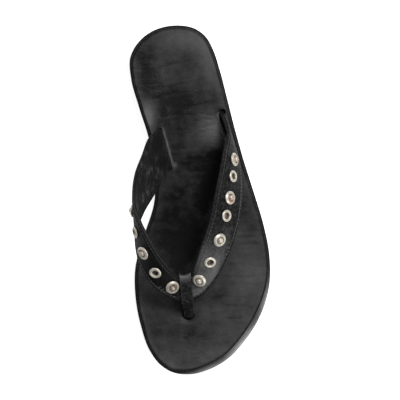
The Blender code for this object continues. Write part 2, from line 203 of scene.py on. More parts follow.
class Curve:
    """Smooth curve through given points, measured by point number."""

    def __init__(self, points: Sequence[Sequence[float]], closed: bool = False) -> None:
        """Set the curve through its points.

        Args:
            points: Points in order.
            closed: Whether the last point runs on to the first.
        """
        self.points = np.asarray(points, float)
        self.closed = closed
        self.last = len(self.points) if closed else len(self.points) - 1
        self.slopes = self._slopes()

    def _slopes(self) -> Array:
        """Tangent at each point, for chord lengths as the measure.

        Returns:
            One tangent for each point.
        """
        here = self.points
        before = np.roll(here, 1, axis=0)
        after = np.roll(here, -1, axis=0)
        back = np.linalg.norm(here - before, axis=1, keepdims=True)
        ahead = np.linalg.norm(after - here, axis=1, keepdims=True)
        found = ((here - before) * (ahead / back) + (after - here) * (back / ahead)) / (back + ahead)
        if not self.closed:
            found[0] = (after[0] - here[0]) / ahead[0]
            found[-1] = (here[-1] - before[-1]) / back[-1]
        return found

    def at(self, number: Array) -> Array:
        """Points at point numbers; an open curve is carried on straight past its ends.

        Args:
            number: Point numbers, with fractions.

        Returns:
            Points, one more axis than the numbers.
        """
        number = np.asarray(number, float)
        inside = number % self.last if self.closed else np.clip(number, 0.0, self.last)
        first = np.minimum(inside.astype(int), self.last - 1)
        second = (first + 1) % len(self.points)
        t = (inside - first)[..., None]
        a = self.points[first]
        b = self.points[second]
        chord = np.linalg.norm(b - a, axis=-1, keepdims=True)
        t2 = t * t
        t3 = t2 * t
        found = a * (2.0 * t3 - 3.0 * t2 + 1.0) + b * (3.0 * t2 - 2.0 * t3)
        found += chord * (self.slopes[first] * (t3 - 2.0 * t2 + t) + self.slopes[second] * (t3 - t2))
        if self.closed:
            return found
        past = (number - inside)[..., None]
        ends = np.where(past < 0.0, self.points[1] - self.points[0], self.points[-1] - self.points[-2])
        return found + ends * past

    def spread(self, steps: int) -> Array:
        """Points along the whole curve, a number of steps to each span."""
        count = self.last * steps
        return self.at(np.arange(count if self.closed else count + 1) / steps)


def resampled(points: Array, steps: int) -> Array:
    """Points spaced evenly along a line.

    Args:
        points: Points of the line.
        steps: Number of equal steps.

    Returns:
        steps + 1 points.
    """
    gone = gone_along(points)
    marks = np.linspace(0.0, gone[-1], steps + 1)
    return np.stack([np.interp(marks, gone, column) for column in points.T], axis=1)


@dataclass
class Shell:
    """Points and faces of a piece while it is put together, in millimetres."""

    points: list[Array] = field(default_factory=list)
    faces: list[Array] = field(default_factory=list)
    caps: list[list[int]] = field(default_factory=list)
    marks: dict[str, list[tuple[int, Array]]] = field(default_factory=dict)
    count: int = 0

    def put(self, grid: Array, **marks: Array) -> Array:
        """Add a grid of points.

        Args:
            grid: Points, with their three measures on the last axis.
            marks: Named values to keep at the points.

        Returns:
            Numbers of the points, in the same grid.
        """
        shape = grid.shape[:-1]
        size = math.prod(shape)
        for name, values in marks.items():
            held = np.broadcast_to(values, shape).reshape(-1)
            self.marks.setdefault(name, []).append((self.count, held))
        numbers = np.arange(self.count, self.count + size).reshape(shape)
        self.points.append(grid.reshape(-1, 3))
        self.count += size
        return numbers

    def skin(self, numbers: Array, around: bool = False, flip: bool = False) -> None:
        """Cover a grid of point numbers with faces.

        Args:
            numbers: Grid of point numbers.
            around: Whether the last column joins the first.
            flip: Whether the faces look the other way.
        """
        grid = np.hstack([numbers, numbers[:, :1]]) if around else numbers
        quads = np.stack([grid[:-1, :-1], grid[1:, :-1], grid[1:, 1:], grid[:-1, 1:]], axis=-1).reshape(-1, 4)
        self.faces.append(quads[:, ::-1] if flip else quads)

    def close(self, ring: Array, flip: bool = False) -> None:
        """Close a ring of point numbers with one face."""
        self.caps.append([int(number) for number in (ring[::-1] if flip else ring)])

    def tube(self, numbers: Array) -> None:
        """Cover rings of point numbers with faces and close both ends.

        Args:
            numbers: Point numbers, one ring to a row.
        """
        self.skin(numbers, around=True)
        self.close(numbers[0])
        self.close(numbers[-1], flip=True)

    def mesh(self, name: str) -> Mesh:
        """Mesh of the finished piece.

        Args:
            name: Name of the mesh.

        Returns:
            Mesh with its marks as attributes and its faces looking out.
        """
        made = bpy.data.meshes.new(name)
        quads = [tuple(row) for block in self.faces for row in block.tolist()]
        made.from_pydata((np.concatenate(self.points) * MM).tolist(), [], quads + self.caps)
        for mark, blocks in self.marks.items():
            values = np.zeros(self.count, np.float32)
            for start, held in blocks:
                values[start:start + len(held)] = held
            made.attributes.new(mark, "FLOAT", "POINT").data.foreach_set("value", values)
        work = bmesh.new()
        work.from_mesh(made)
        bmesh.ops.recalc_face_normals(work, faces=work.faces[:])
        work.to_mesh(made)
        work.free()
        return made


def places(mesh: Mesh) -> Array:
    """Points of a mesh in millimetres."""
    found = np.zeros(len(mesh.vertices) * 3, np.float32)
    mesh.vertices.foreach_get("co", found)
    return found.reshape(-1, 3).astype(float) / MM


def marked(mesh: Mesh, name: str, values: Array) -> None:
    """Keep a named value at each point of a mesh."""
    layer = mesh.attributes.get(name) or mesh.attributes.new(name, "FLOAT", "POINT")
    layer.data.foreach_set("value", np.asarray(values, np.float32))


def cut_out(mesh: Mesh, cutter: Mesh) -> Mesh:
    """Take a cutter's shape out of a mesh.

    Args:
        mesh: Mesh to cut.
        cutter: Closed mesh of the material taken away.

    Returns:
        New mesh of what is left.
    """
    scene = bpy.context.scene.collection.objects
    body = bpy.data.objects.new("uncut", mesh)
    tool = bpy.data.objects.new("cutter", cutter)
    scene.link(body)
    scene.link(tool)
    change = body.modifiers.new("cut", "BOOLEAN")
    change.operation = "DIFFERENCE"
    change.solver = "EXACT"
    change.object = tool
    found = body.evaluated_get(bpy.context.evaluated_depsgraph_get())
    left = bpy.data.meshes.new_from_object(found)
    bpy.data.objects.remove(body)
    bpy.data.objects.remove(tool)
    bpy.data.meshes.remove(cutter)
    left.name = mesh.name + "_cut"
    return left


def fit_piece(
    name: str, mesh: Mesh, finish: bpy.types.Material, node: str, sharp: float = 40.0
) -> None:
    """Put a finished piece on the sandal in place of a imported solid.

    Args:
        name: Name of the piece.
        mesh: Its mesh, in place.
        finish: Its material.
        node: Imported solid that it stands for.
        sharp: Angle in degrees past which an edge shows as sharp.
    """
    mesh.shade_smooth()
    mesh.set_sharp_from_angle(angle=math.radians(sharp))
    mesh.materials.clear()
    mesh.materials.append(finish)
    piece = bpy.data.objects.new(name, mesh)
    bpy.context.scene.collection.objects.link(piece)
    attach(piece, BODY)
    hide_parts(node)
    log.info("%s stands for %s with %d faces", name, node, len(mesh.polygons))


class Board:
    """Node tree of a material or an effect, with short calls that add nodes and feed their inputs."""

    def __init__(self, tree: bpy.types.NodeTree) -> None:
        """Work on a node tree."""
        self.tree = tree

    def feed(self, socket: Socket, value: Feed) -> None:
        """Set an input to a value, or join it to another node's output."""
        if isinstance(value, Socket):
            self.tree.links.new(value, socket)
        else:
            socket.default_value = value

    def node(self, kind: str, feeds: dict[Any, Feed] | None = None, **settings: Any) -> bpy.types.Node:
        """Add a node.

        Args:
            kind: Node type without its leading words.
            feeds: Inputs by name or place.
            settings: Options of the node.

        Returns:
            The node.
        """
        made = self.tree.nodes.new("ShaderNode" + kind)
        for name, value in settings.items():
            setattr(made, name, value)
        for key, value in (feeds or {}).items():
            self.feed(made.inputs[key], value)
        return made

    def math(self, operation: str, a: Feed, b: Feed = 0.0, c: Feed = 0.0) -> Socket:
        """Result of a sum on two or three values."""
        return self.node("Math", {0: a, 1: b, 2: c}, operation=operation).outputs[0]

    def sway(self, value: Feed, share: float, base: Feed) -> Socket:
        """Base moved up and down by a value that swings about a half."""
        return self.math("MULTIPLY_ADD", self.math("SUBTRACT", value, 0.5), share, base)

    def span(self, value: Feed, low: float, high: float, to_low: float = 0.0, to_high: float = 1.0,
             soft: bool = False) -> Socket:
        """Value carried from one range to another.

        Args:
            value: Value to carry over.
            low: Start of its range.
            high: End of its range.
            to_low: Start of the new range.
            to_high: End of the new range.
            soft: Whether the ends ease in.

        Returns:
            Output that stays inside the new range.
        """
        kind = "SMOOTHSTEP" if soft else "LINEAR"
        return self.node("MapRange", {0: value, 1: low, 2: high, 3: to_low, 4: to_high},
                         interpolation_type=kind).outputs[0]

    def tint(self, share: Feed, a: Feed, b: Feed) -> Socket:
        """Colour between two colours."""
        return self.node("Mix", {0: share, 6: a, 7: b}, data_type="RGBA").outputs[2]

    def times(self, a: Feed, b: Feed) -> Socket:
        """Product of two values."""
        return self.math("MULTIPLY", a, b)

    def noise(self, place: Feed, scale: Feed, detail: float = 3.0, rough: float = 0.5,
              output: str = "Fac") -> Socket:
        """Cloudy noise."""
        feeds = {"Vector": place, "Scale": scale, "Detail": detail, "Roughness": rough}
        return self.node("TexNoise", feeds).outputs[output]

    def stretched(self, place: Feed, scale: Triple) -> Socket:
        """Place with its measures scaled apart."""
        return self.node("VectorMath", {0: place, 1: scale}, operation="MULTIPLY").outputs[0]

    def mark(self, name: str) -> Socket:
        """Value kept at the points of the piece."""
        return self.node("Attribute", attribute_name=name).outputs["Fac"]

    def bump(self, height: Feed, distance: float, strength: float = 1.0,
             normal: Feed = None) -> Socket:
        """Normal of a surface raised by a height map.

        Args:
            height: Height from 0 to 1.
            distance: Real height of 1, in metres.
            strength: Share of the effect.
            normal: Normal to start from.

        Returns:
            The normal.
        """
        feeds = {"Height": height, "Distance": distance, "Strength": strength}
        if normal is not None:
            feeds["Normal"] = normal
        return self.node("Bump", feeds).outputs["Normal"]


class Effect(ABC):
    """Surface effect that several finishes share, kept as one node group."""

    title: ClassVar[str]
    inputs: ClassVar[tuple[tuple[str, str, Feed], ...]]
    outputs: ClassVar[tuple[str, ...]]
    built: ClassVar[dict[str, bpy.types.NodeTree]] = {}

    @classmethod
    def group(cls) -> bpy.types.NodeTree:
        """Node group of the effect, made the first time it is asked for.

        Returns:
            The node group.
        """
        if cls.title not in Effect.built:
            tree = bpy.data.node_groups.new(cls.title, "ShaderNodeTree")
            for name, kind, value in cls.inputs:
                socket = tree.interface.new_socket(name, in_out="INPUT", socket_type="NodeSocket" + kind)
                if value is not None:
                    socket.default_value = value
            for name in cls.outputs:
                tree.interface.new_socket(name, in_out="OUTPUT", socket_type="NodeSocketFloat")
            given = tree.nodes.new("NodeGroupInput").outputs
            made = cls.draw(Board(tree), given)
            result = tree.nodes.new("NodeGroupOutput").inputs
            for name, socket in zip(cls.outputs, made):
                tree.links.new(socket, result[name])
            Effect.built[cls.title] = tree
        return Effect.built[cls.title]

    @classmethod
    @abstractmethod
    def draw(cls, board: Board, given: Any) -> tuple[Socket, ...]:
        """Nodes inside the group, with one result for each output."""

    @classmethod
    def on(cls, board: Board, feeds: dict[str, Feed]) -> Any:
        """Place the effect in a material.

        Args:
            board: Node tree of the material.
            feeds: Inputs of the effect by name.

        Returns:
            Outputs of the effect.
        """
        return board.node("Group", feeds, node_tree=cls.group()).outputs


class HideGrain(Effect):
    """Pebbled grain of hide: cells parted by fine lines, with pores."""

    title = "hide grain"
    inputs = (
        ("Place", "Vector", None),
        ("Cells per metre", "Float", 700.0),
        ("Pores per metre", "Float", 2600.0),
    )
    outputs = ("Height",)

    @classmethod
    def draw(cls, board: Board, given: Any) -> tuple[Socket, ...]:
        """Nodes inside the group, with one result for each output."""
        cells = given["Cells per metre"]
        wander = board.noise(given["Place"], board.times(cells, 0.6), 2.0, output="Color")
        drift = board.node("VectorMath", {0: wander, 1: (0.0005, 0.0005, 0.0005), 2: given["Place"]},
                           operation="MULTIPLY_ADD").outputs[0]
        cell = board.node("TexVoronoi", {"Vector": drift, "Scale": cells}, feature="DISTANCE_TO_EDGE")
        dome = board.span(cell.outputs["Distance"], 0.0, 0.32, soft=True)
        pores = board.noise(given["Place"], given["Pores per metre"], 2.0, 0.6)
        return (board.math("MULTIPLY_ADD", pores, 0.35, board.times(dome, 0.65)),)


class Patina(Effect):
    """Uneven tone of a used surface: wide patches, blotches and fine speckle."""

    title = "patina"
    inputs = (("Place", "Vector", None), ("Patches per metre", "Float", 30.0))
    outputs = ("Tone", "Speckle")

    @classmethod
    def draw(cls, board: Board, given: Any) -> tuple[Socket, ...]:
        """Nodes inside the group, with one result for each output."""
        patches = given["Patches per metre"]
        wide = board.noise(given["Place"], patches, 2.0, 0.5)
        blotch = board.noise(given["Place"], board.times(patches, 4.3), 4.0, 0.6)
        speckle = board.noise(given["Place"], board.times(patches, 36.0), 2.0, 0.6)
        both = board.math("MULTIPLY_ADD", wide, 0.55, board.times(blotch, 0.45))
        return board.span(both, 0.3, 0.7), board.span(speckle, 0.3, 0.72)


class Rubbing(Effect):
    """Fine lines rubbed one way across a surface; the place comes in stretched along them."""

    title = "rubbing"
    inputs = (("Place", "Vector", None), ("Lines per metre", "Float", 900.0))
    outputs = ("Lines",)

    @classmethod
    def draw(cls, board: Board, given: Any) -> tuple[Socket, ...]:
        """Nodes inside the group, with one result for each output."""
        fine = board.noise(given["Place"], given["Lines per metre"], 3.0, 0.65)
        patches = board.times(given["Lines per metre"], 0.11)
        where = board.noise(given["Place"], patches, 2.0)
        thin = board.span(fine, 0.56, 0.7, soft=True)
        return (board.times(thin, board.span(where, 0.42, 0.62, soft=True)),)


class Finish(ABC):
    """Finish of a surface."""

    name: str

    def material(self) -> bpy.types.Material:
        """Material of the finish.

        Returns:
            A new material.
        """
        made = bpy.data.materials.new(self.name)
        made.use_nodes = True
        board = Board(made.node_tree)
        place = board.node("TexCoord").outputs["Object"]
        self.shade(board, made.node_tree.nodes["Principled BSDF"].inputs, place)
        return made

    @abstractmethod
    def shade(self, board: Board, shader: Any, place: Socket) -> None:
        """Feed the shader's inputs.

        Args:
            board: Node tree of the material.
            shader: Inputs of the shader.
            place: Place on the piece, in metres.
        """


@dataclass(frozen=True)
class FootbedLeather(Finish):
    """Charcoal footbed leather, darker and smoother where its tone is low and dust-grey at its rim; the tone
    mixes wear and dust with painted shade and painted sheen.
    """

    name: str = "footbed_leather"
    # Dark end: wear and painted shade. Light end: dust and painted sheen.
    worn: Colour = (0.004, 0.004, 0.0041, 1.0)
    dusty_and_sheen: Colour = (0.101, 0.101, 0.103, 1.0)
    gloss: Pair = (0.4, 0.55)
    specular: float = 0.12
    cells: float = 620.0
    uneven: float = 0.38
    speckle: float = 0.14
    streak: float = 0.05
    scratch: float = 0.04

    def shade(self, board: Board, shader: Any, place: Socket) -> None:
        """Feed the shader's inputs.

        Args:
            board: Node tree of the material.
            shader: Inputs of the shader.
            place: Place on the piece, in metres.
        """
        patina = Patina.on(board, {"Place": place, "Patches per metre": 40.0})
        grain = HideGrain.on(board, {"Place": place, "Cells per metre": self.cells})
        across = board.stretched(place, (0.12, 1.0, 1.0))
        rubbed = Rubbing.on(board, {"Place": across, "Lines per metre": 1100.0})["Lines"]
        wave = board.noise(board.stretched(place, (0.28, 1.0, 1.0)), 320.0, 3.0, 0.6)
        where = board.noise(place, 30.0, 1.0)
        patches = board.span(where, 0.4, 0.62, soft=True)
        wrinkled = board.times(board.span(wave, 0.3, 0.75), patches)
        # The rub mark brings in painted shade and painted sheen along with wear and dust.
        tone = board.sway(patina["Tone"], self.uneven, board.mark("rub"))
        tone = board.sway(patina["Speckle"], self.speckle, tone)
        tone = board.math("MULTIPLY_ADD", wrinkled, -self.streak, tone)
        tone = board.math("MULTIPLY_ADD", rubbed, -self.scratch, tone)
        shader["Specular IOR Level"].default_value = self.specular
        board.feed(shader["Roughness"], board.span(tone, 0.0, 1.0, *self.gloss))
        board.feed(shader["Base Color"], board.tint(tone, self.worn, self.dusty_and_sheen))
        fine = board.bump(grain["Height"], 0.00012, 0.6)
        folded = board.bump(wrinkled, -0.00028, 0.6, fine)
        board.feed(shader["Normal"], board.bump(rubbed, -0.0001, 0.7, folded))


@dataclass(frozen=True)
class StrapLeather(Finish):
    """Black satin strap leather with a fine grain, rubbed lighter along its cut edges; its tone also carries
    painted highlights and painted shade.
    """

    name: str = "strap_leather"
    deep: Colour = (0.002, 0.002, 0.0021, 1.0)
    faded_and_lit: Colour = (0.115, 0.115, 0.117, 1.0)
    edge: Colour = (0.036, 0.0355, 0.035, 1.0)
    gloss: Pair = (0.4, 0.55)
    specular: float = 0.13
    uneven: float = 0.14
    mottled: float = 0.4
    mottles: float = 520.0
    cells: float = 640.0
    pores: float = 3200.0

    def shade(self, board: Board, shader: Any, place: Socket) -> None:
        """Feed the shader's inputs.

        Args:
            board: Node tree of the material.
            shader: Inputs of the shader.
            place: Place on the piece, in metres.
        """
        patina = Patina.on(board, {"Place": place, "Patches per metre": 55.0})
        hide = {"Place": place, "Cells per metre": self.cells, "Pores per metre": self.pores}
        grain = HideGrain.on(board, hide)
        broken = board.span(patina["Speckle"], 0.2, 0.8, 0.35, 1.0)
        rubbed = board.times(board.mark("edge"), broken)
        shader["Specular IOR Level"].default_value = self.specular
        board.feed(shader["Roughness"], board.span(patina["Tone"], 0.0, 1.0, *self.gloss))
        mottle = board.span(board.noise(place, self.mottles, 3.0, 0.65), 0.3, 0.7)
        # Tone from the rub mark: painted highlight on the outer arm's front, painted shade on the inner arm,
        # and edge and face wear.
        tone = board.sway(mottle, self.mottled, board.sway(patina["Tone"], self.uneven, board.mark("rub")))
        worn = board.tint(tone, self.deep, self.faded_and_lit)
        board.feed(shader["Base Color"], board.tint(rubbed, worn, self.edge))
        fine = board.bump(grain["Height"], 0.00024, 0.8)
        board.feed(shader["Normal"], board.bump(patina["Tone"], 0.0003, 0.5, fine))


@dataclass(frozen=True)
class LiningSuede(Finish):
    """Napped lining leather, black with lighter blotches of dust, and darker patches toward the inner slit
    that are painted shade.
    """

    name: str = "lining_suede"
    deep: Colour = (0.0015, 0.0015, 0.0015, 1.0)
    nap: Colour = (0.13, 0.128, 0.126, 1.0)
    raw: Colour = (0.17, 0.145, 0.12, 1.0)
    strokes: float = 520.0
    fibres: float = 5200.0
    contrast: float = 4.0
    dustiness: float = 2.0

    def shade(self, board: Board, shader: Any, place: Socket) -> None:
        """Feed the shader's inputs.

        Args:
            board: Node tree of the material.
            shader: Inputs of the shader.
            place: Place on the piece, in metres.
        """
        drawn = board.stretched(place, (1.0, 0.6, 0.45))
        patina = Patina.on(board, {"Place": drawn, "Patches per metre": 130.0})
        fibre = board.noise(place, self.fibres, 3.0, 0.7)
        brushed = board.stretched(place, (1.0, 0.3, 0.3))
        stroke = board.noise(brushed, self.strokes, 3.0, 0.6)
        cloud = board.times(patina["Tone"], 0.5)
        mixed = board.math("MULTIPLY_ADD", board.span(stroke, 0.3, 0.7), 0.5, cloud)
        # The rub mark gives lighter dust and, toward the slit, painted shade.
        amount = board.times(board.mark("rub"), self.dustiness)
        dust = board.times(board.math("POWER", mixed, self.contrast), amount)
        dust = board.sway(patina["Speckle"], 0.2, dust)
        shader["Roughness"].default_value = 0.88
        shader["Specular IOR Level"].default_value = 0.15
        shader["Sheen Weight"].default_value = 0.04
        shader["Sheen Roughness"].default_value = 0.5
        dyed = board.tint(dust, self.deep, self.nap)
        board.feed(shader["Base Color"], board.tint(board.mark("raw"), dyed, self.raw))
        soft = board.bump(patina["Tone"], 0.0005, 0.6)
        board.feed(shader["Normal"], board.bump(fibre, 0.00022, 0.8, soft))


@dataclass(frozen=True)
class SoleRubber(Finish):
    """Black moulded sole with a buffed side and a finely pebbled underside."""

    name: str = "sole_rubber"
    deep: Colour = (0.004, 0.004, 0.0041, 1.0)
    scuffed_and_lit: Colour = (0.4, 0.396, 0.39, 1.0)
    gloss: Pair = (0.46, 0.66)
    specular: float = 0.2

    def shade(self, board: Board, shader: Any, place: Socket) -> None:
        """Feed the shader's inputs.

        Args:
            board: Node tree of the material.
            shader: Inputs of the shader.
            place: Place on the piece, in metres.
        """
        patina = Patina.on(board, {"Place": place, "Patches per metre": 60.0})
        pebble = HideGrain.on(board, {"Place": place, "Cells per metre": 520.0})
        layered = board.stretched(place, (0.06, 0.06, 1.0))
        buffed = Rubbing.on(board, {"Place": layered, "Lines per metre": 1500.0})["Lines"]
        film = board.math("MULTIPLY_ADD", buffed, 0.06, board.times(patina["Tone"], 0.04))
        film = board.times(film, board.mark("wall"))
        # Scuff marks that also paint the highlight of the lit toe wall.
        dust = board.times(board.mark("scuff_and_highlight"), board.span(patina["Tone"], 0.0, 1.0, 0.55, 1.0))
        scuff_and_highlight = board.math("ADD", film, dust)
        shader["Specular IOR Level"].default_value = self.specular
        board.feed(shader["Base Color"], board.tint(scuff_and_highlight, self.deep, self.scuffed_and_lit))
        board.feed(shader["Roughness"], board.span(patina["Tone"], 0.0, 1.0, *self.gloss))
        rough = board.bump(board.times(pebble["Height"], board.mark("tread")), 0.0005, 0.8)
        board.feed(shader["Normal"], board.bump(buffed, 0.00006, 0.6, rough))


@dataclass(frozen=True)
class Nickel(Finish):
    """Warm polished nickel, tarnished in its hollows and finely scratched."""

    name: str = "nickel"
    bright: Colour = (0.69, 0.65, 0.57, 1.0)
    tarnish: Colour = (0.15, 0.11, 0.08, 1.0)
    rust: Colour = (0.4, 0.2, 0.13, 1.0)
    gloss: Pair = (0.4, 0.62)
    metallic: float = 0.52

    def shade(self, board: Board, shader: Any, place: Socket) -> None:
        """Feed the shader's inputs.

        Args:
            board: Node tree of the material.
            shader: Inputs of the shader.
            place: Place on the piece, in metres.
        """
        patina = Patina.on(board, {"Place": place, "Patches per metre": 320.0})
        across = board.stretched(place, (1.0, 0.15, 1.0))
        scratched = Rubbing.on(board, {"Place": across, "Lines per metre": 5200.0})["Lines"]
        dull = board.times(board.mark("recess"), board.span(patina["Tone"], 0.1, 0.9, 0.6, 1.0))
        film = board.math("MULTIPLY_ADD", patina["Tone"], 0.3, board.times(dull, 0.9))
        shader["Metallic"].default_value = self.metallic
        rusty = board.times(board.mark("rust"), board.span(patina["Speckle"], 0.2, 0.8, 0.5, 1.0))
        clean = board.tint(film, self.bright, self.tarnish)
        board.feed(shader["Base Color"], board.tint(rusty, clean, self.rust))
        satin = board.span(film, 0.0, 1.0, *self.gloss)
        board.feed(shader["Roughness"], board.math("MULTIPLY_ADD", scratched, 0.12, satin))
        board.feed(shader["Normal"], board.bump(scratched, 0.00002, 0.5))


@dataclass(frozen=True)
class WaxedThread(Finish):
    """Black waxed sewing thread."""

    name: str = "waxed_thread"
    deep: Colour = (0.012, 0.012, 0.012, 1.0)
    frayed: Colour = (0.1, 0.1, 0.098, 1.0)

    def shade(self, board: Board, shader: Any, place: Socket) -> None:
        """Feed the shader's inputs.

        Args:
            board: Node tree of the material.
            shader: Inputs of the shader.
            place: Place on the piece, in metres.
        """
        twist = board.noise(place, 4200.0, 2.0, 0.6)
        patina = Patina.on(board, {"Place": place, "Patches per metre": 110.0})
        shader["Roughness"].default_value = 0.55
        worn = board.times(patina["Tone"], board.mark("rub"))
        board.feed(shader["Base Color"], board.tint(worn, self.deep, self.frayed))
        board.feed(shader["Normal"], board.bump(twist, 0.00015, 0.8))


@dataclass(frozen=True)
class PaleFloor(Finish):
    """Matt pale studio floor."""

    name: str = "pale_floor"
    pale: Colour = (0.9, 0.9, 0.9, 1.0)
    shade_of_it: Colour = (0.88, 0.88, 0.88, 1.0)
    glow: float = 0.9

    def shade(self, board: Board, shader: Any, place: Socket) -> None:
        """Feed the shader's inputs.

        Args:
            board: Node tree of the material.
            shader: Inputs of the shader.
            place: Place on the piece, in metres.
        """
        cloud = board.noise(place, 3.0, 2.0)
        shader["Roughness"].default_value = 0.9
        shader["Specular IOR Level"].default_value = 0.1
        seen = board.node("LightPath").outputs["Is Camera Ray"]
        board.feed(shader["Emission Color"], board.tint(seen, (0.0, 0.0, 0.0, 1.0), self.pale))
        shader["Emission Strength"].default_value = self.glow
        board.feed(shader["Base Color"], board.tint(cloud, self.pale, self.shade_of_it))


class OutlineRow(NamedTuple):
    """Edge of the sole at a station of its length, on the inner and the outer side of the foot."""

    station: float
    medial: float
    lateral: float


@dataclass
class SoleShape:
    """Form that the sole's layers share: outline, deck and ground."""

    heel_tip: Pair = (-3.8, 128.0)
    toe_tip: Pair = (-15.0, -128.0)
    fore_deck: float = 5.5
    heel_deck: float = 13.0
    deck_rise: Pair = (-40.0, 70.0)
    toe_spring: float = 6.0
    deck_spring_start: float = -62.0
    ground_spring_start: float = -72.0
    arch_height: float = 5.5
    arch_span: Pair = (-24.0, 58.0)
    heel_dish: float = 1.2
    fore_dish: float = 0.4
    dish_rise: Pair = (0.0, 70.0)
    seat_gap: float = 0.3
    insole_thick: float = 3.2
    toe_lean: float = 2.3
    lean_span: Pair = (-48.0, -100.0)
    lean_side: Pair = (-32.0, 0.0)
    corner_station: float = 92.0
    across: int = 84
    along: int = 196
    settle: int = 300
    span_steps: int = 24
    outline: tuple[OutlineRow, ...] = (
        OutlineRow(123.5, -23.6, 12.8),
        OutlineRow(117.0, -31.8, 19.4),
        OutlineRow(108.0, -37.5, 23.3),
        OutlineRow(92.0, -38.5, 27.0),
        OutlineRow(72.0, -35.0, 30.2),
        OutlineRow(48.0, -29.9, 33.9),
        OutlineRow(24.0, -27.6, 38.3),
        OutlineRow(0.0, -30.4, 43.5),
        OutlineRow(-24.0, -40.3, 48.3),
        OutlineRow(-46.0, -48.6, 50.4),
        OutlineRow(-68.0, -50.6, 48.4),
        OutlineRow(-90.0, -48.5, 39.6),
        OutlineRow(-108.0, -43.8, 25.8),
        OutlineRow(-119.0, -37.0, 13.2),
        OutlineRow(-125.5, -28.2, -0.8),
    )

    def __post_init__(self) -> None:
        """Work out the edge, from the heel down the inner side to the toe and up the outer side."""
        inner = [(row.medial, row.station) for row in self.outline]
        outer = [(row.lateral, row.station) for row in self.outline]
        ring = [self.heel_tip] + inner + [self.toe_tip] + outer[::-1]
        self.loop = Curve(ring, closed=True).spread(self.span_steps)
        turn = self.span_steps * (len(inner) + 1)
        self.medial = self.loop[:turn + 1]
        self.lateral = np.vstack([self.loop[:1], self.loop[turn:][::-1]])
        self.edge = self._edge(turn)
        run = np.roll(self.edge, -1, axis=0) - np.roll(self.edge, 1, axis=0)
        self.outward = np.stack([run[:, 1], -run[:, 0]], axis=1) / np.linalg.norm(run, axis=1, keepdims=True)
        self.lean = self.lean_at(self.edge[:, :1], self.edge[:, 1:])

    def _edge(self, turn: int) -> Array:
        """Edge points for the rim of a grid, evenly spaced along its four sides.

        Args:
            turn: Number of the toe tip's point in the loop.

        Returns:
            Points in order, starting on the inner side at the heel.
        """
        count = len(self.loop)
        high = self.corner_station
        medial = [int(np.argmin(np.abs(self.medial[:, 1] - y))) for y in (high, -high)]
        lateral = [turn + int(np.argmin(np.abs(self.loop[turn:, 1] - y))) for y in (-high, high)]
        twice = np.vstack([self.loop, self.loop])
        stops = (medial[0], medial[1], lateral[0], lateral[1], medial[0] + count)
        sides = []
        for k, steps in enumerate((self.along, self.across, self.along, self.across)):
            sides.append(resampled(twice[stops[k]:stops[k + 1] + 1], steps)[:-1])
        return np.vstack(sides)

    def rim_places(self) -> tuple[Array, Array]:
        """Row and column of each rim point in the grid.

        Returns:
            Rows and columns, in the order of the edge.
        """
        down = np.arange(self.along)
        over = np.arange(self.across)
        rows = [down, np.full(self.across, self.along), self.along - down, np.zeros(self.across, int)]
        columns = [np.zeros(self.along, int), over, np.full(self.along, self.across), self.across - over]
        return np.concatenate(rows), np.concatenate(columns)

    def lean_at(self, x: Array, y: Array) -> Array:
        """How far the wall leans out at the toe, on its outer side only."""
        return self.toe_lean * ease(*self.lean_span, y) * ease(*self.lean_side, x)

    def ring(self, inset: float, share: float = 1.0) -> Array:
        """Edge drawn in by a distance, and by a share of the toe's lean."""
        return self.edge - self.outward * (inset + share * self.lean)

    def grid(self, inset: float, share: float = 1.0) -> Array:
        """Plan of a layer inside its rim.

        Args:
            inset: How far the rim is drawn in from the edge.
            share: Share of the toe's lean, 1 at the deck and 0 on the ground.

        Returns:
            Grid of points from heel to toe and from the inner to the outer side.
        """
        rows, columns = self.rim_places()
        plan = np.zeros((self.along + 1, self.across + 1, 2))
        plan[rows, columns] = self.ring(inset, share)
        v = np.linspace(0.0, 1.0, self.along + 1)[:, None, None]
        u = np.linspace(0.0, 1.0, self.across + 1)[None, :, None]
        filled = plan[:1] * (1.0 - v) + plan[-1:] * v + plan[:, :1] * (1.0 - u) + plan[:, -1:] * u
        filled -= (plan[:1, :1] * (1.0 - u) + plan[:1, -1:] * u) * (1.0 - v)
        filled -= (plan[-1:, :1] * (1.0 - u) + plan[-1:, -1:] * u) * v
        plan[1:-1, 1:-1] = filled[1:-1, 1:-1]
        for _ in range(self.settle):
            plan[1:-1, 1:-1] = 0.25 * (plan[:-2, 1:-1] + plan[2:, 1:-1] + plan[1:-1, :-2] + plan[1:-1, 2:])
        return plan

    def from_edge(self, x: Array, y: Array) -> Array:
        """Distance of points from the sole's edge.

        Args:
            x: Across the foot.
            y: Along the foot.

        Returns:
            Distances.
        """
        flat = np.stack([np.ravel(x), np.ravel(y)], axis=1)
        near = np.full(len(flat), np.inf)
        for spot in self.edge[::2]:
            near = np.minimum(near, np.hypot(flat[:, 0] - spot[0], flat[:, 1] - spot[1]))
        return near.reshape(np.shape(x))

    def from_deck_edge(self, x: Array, y: Array) -> Array:
        """Distance of points from the edge of the deck, which leans in at the toe."""
        return self.from_edge(x, y) - self.lean_at(x, y)

    def middle(self, x: Array, y: Array, inset: float) -> Array:
        """How near points are to the middle of the foot.

        Args:
            x: Across the foot.
            y: Along the foot.
            inset: Distance of the rim from the edge, where the result is 0.

        Returns:
            Shares, 1 in the middle.
        """
        low = np.interp(-y, -self.medial[:, 1], self.medial[:, 0]) + inset
        high = np.interp(-y, -self.lateral[:, 1], self.lateral[:, 0]) - inset
        half = np.maximum(0.5 * (high - low), 1.0)
        u = np.clip((x - 0.5 * (low + high)) / half, -1.0, 1.0)
        along = np.clip(y / (self.heel_tip[1] - inset), -1.0, 1.0)
        return (1.0 - along * along) * (1.0 - u * u)

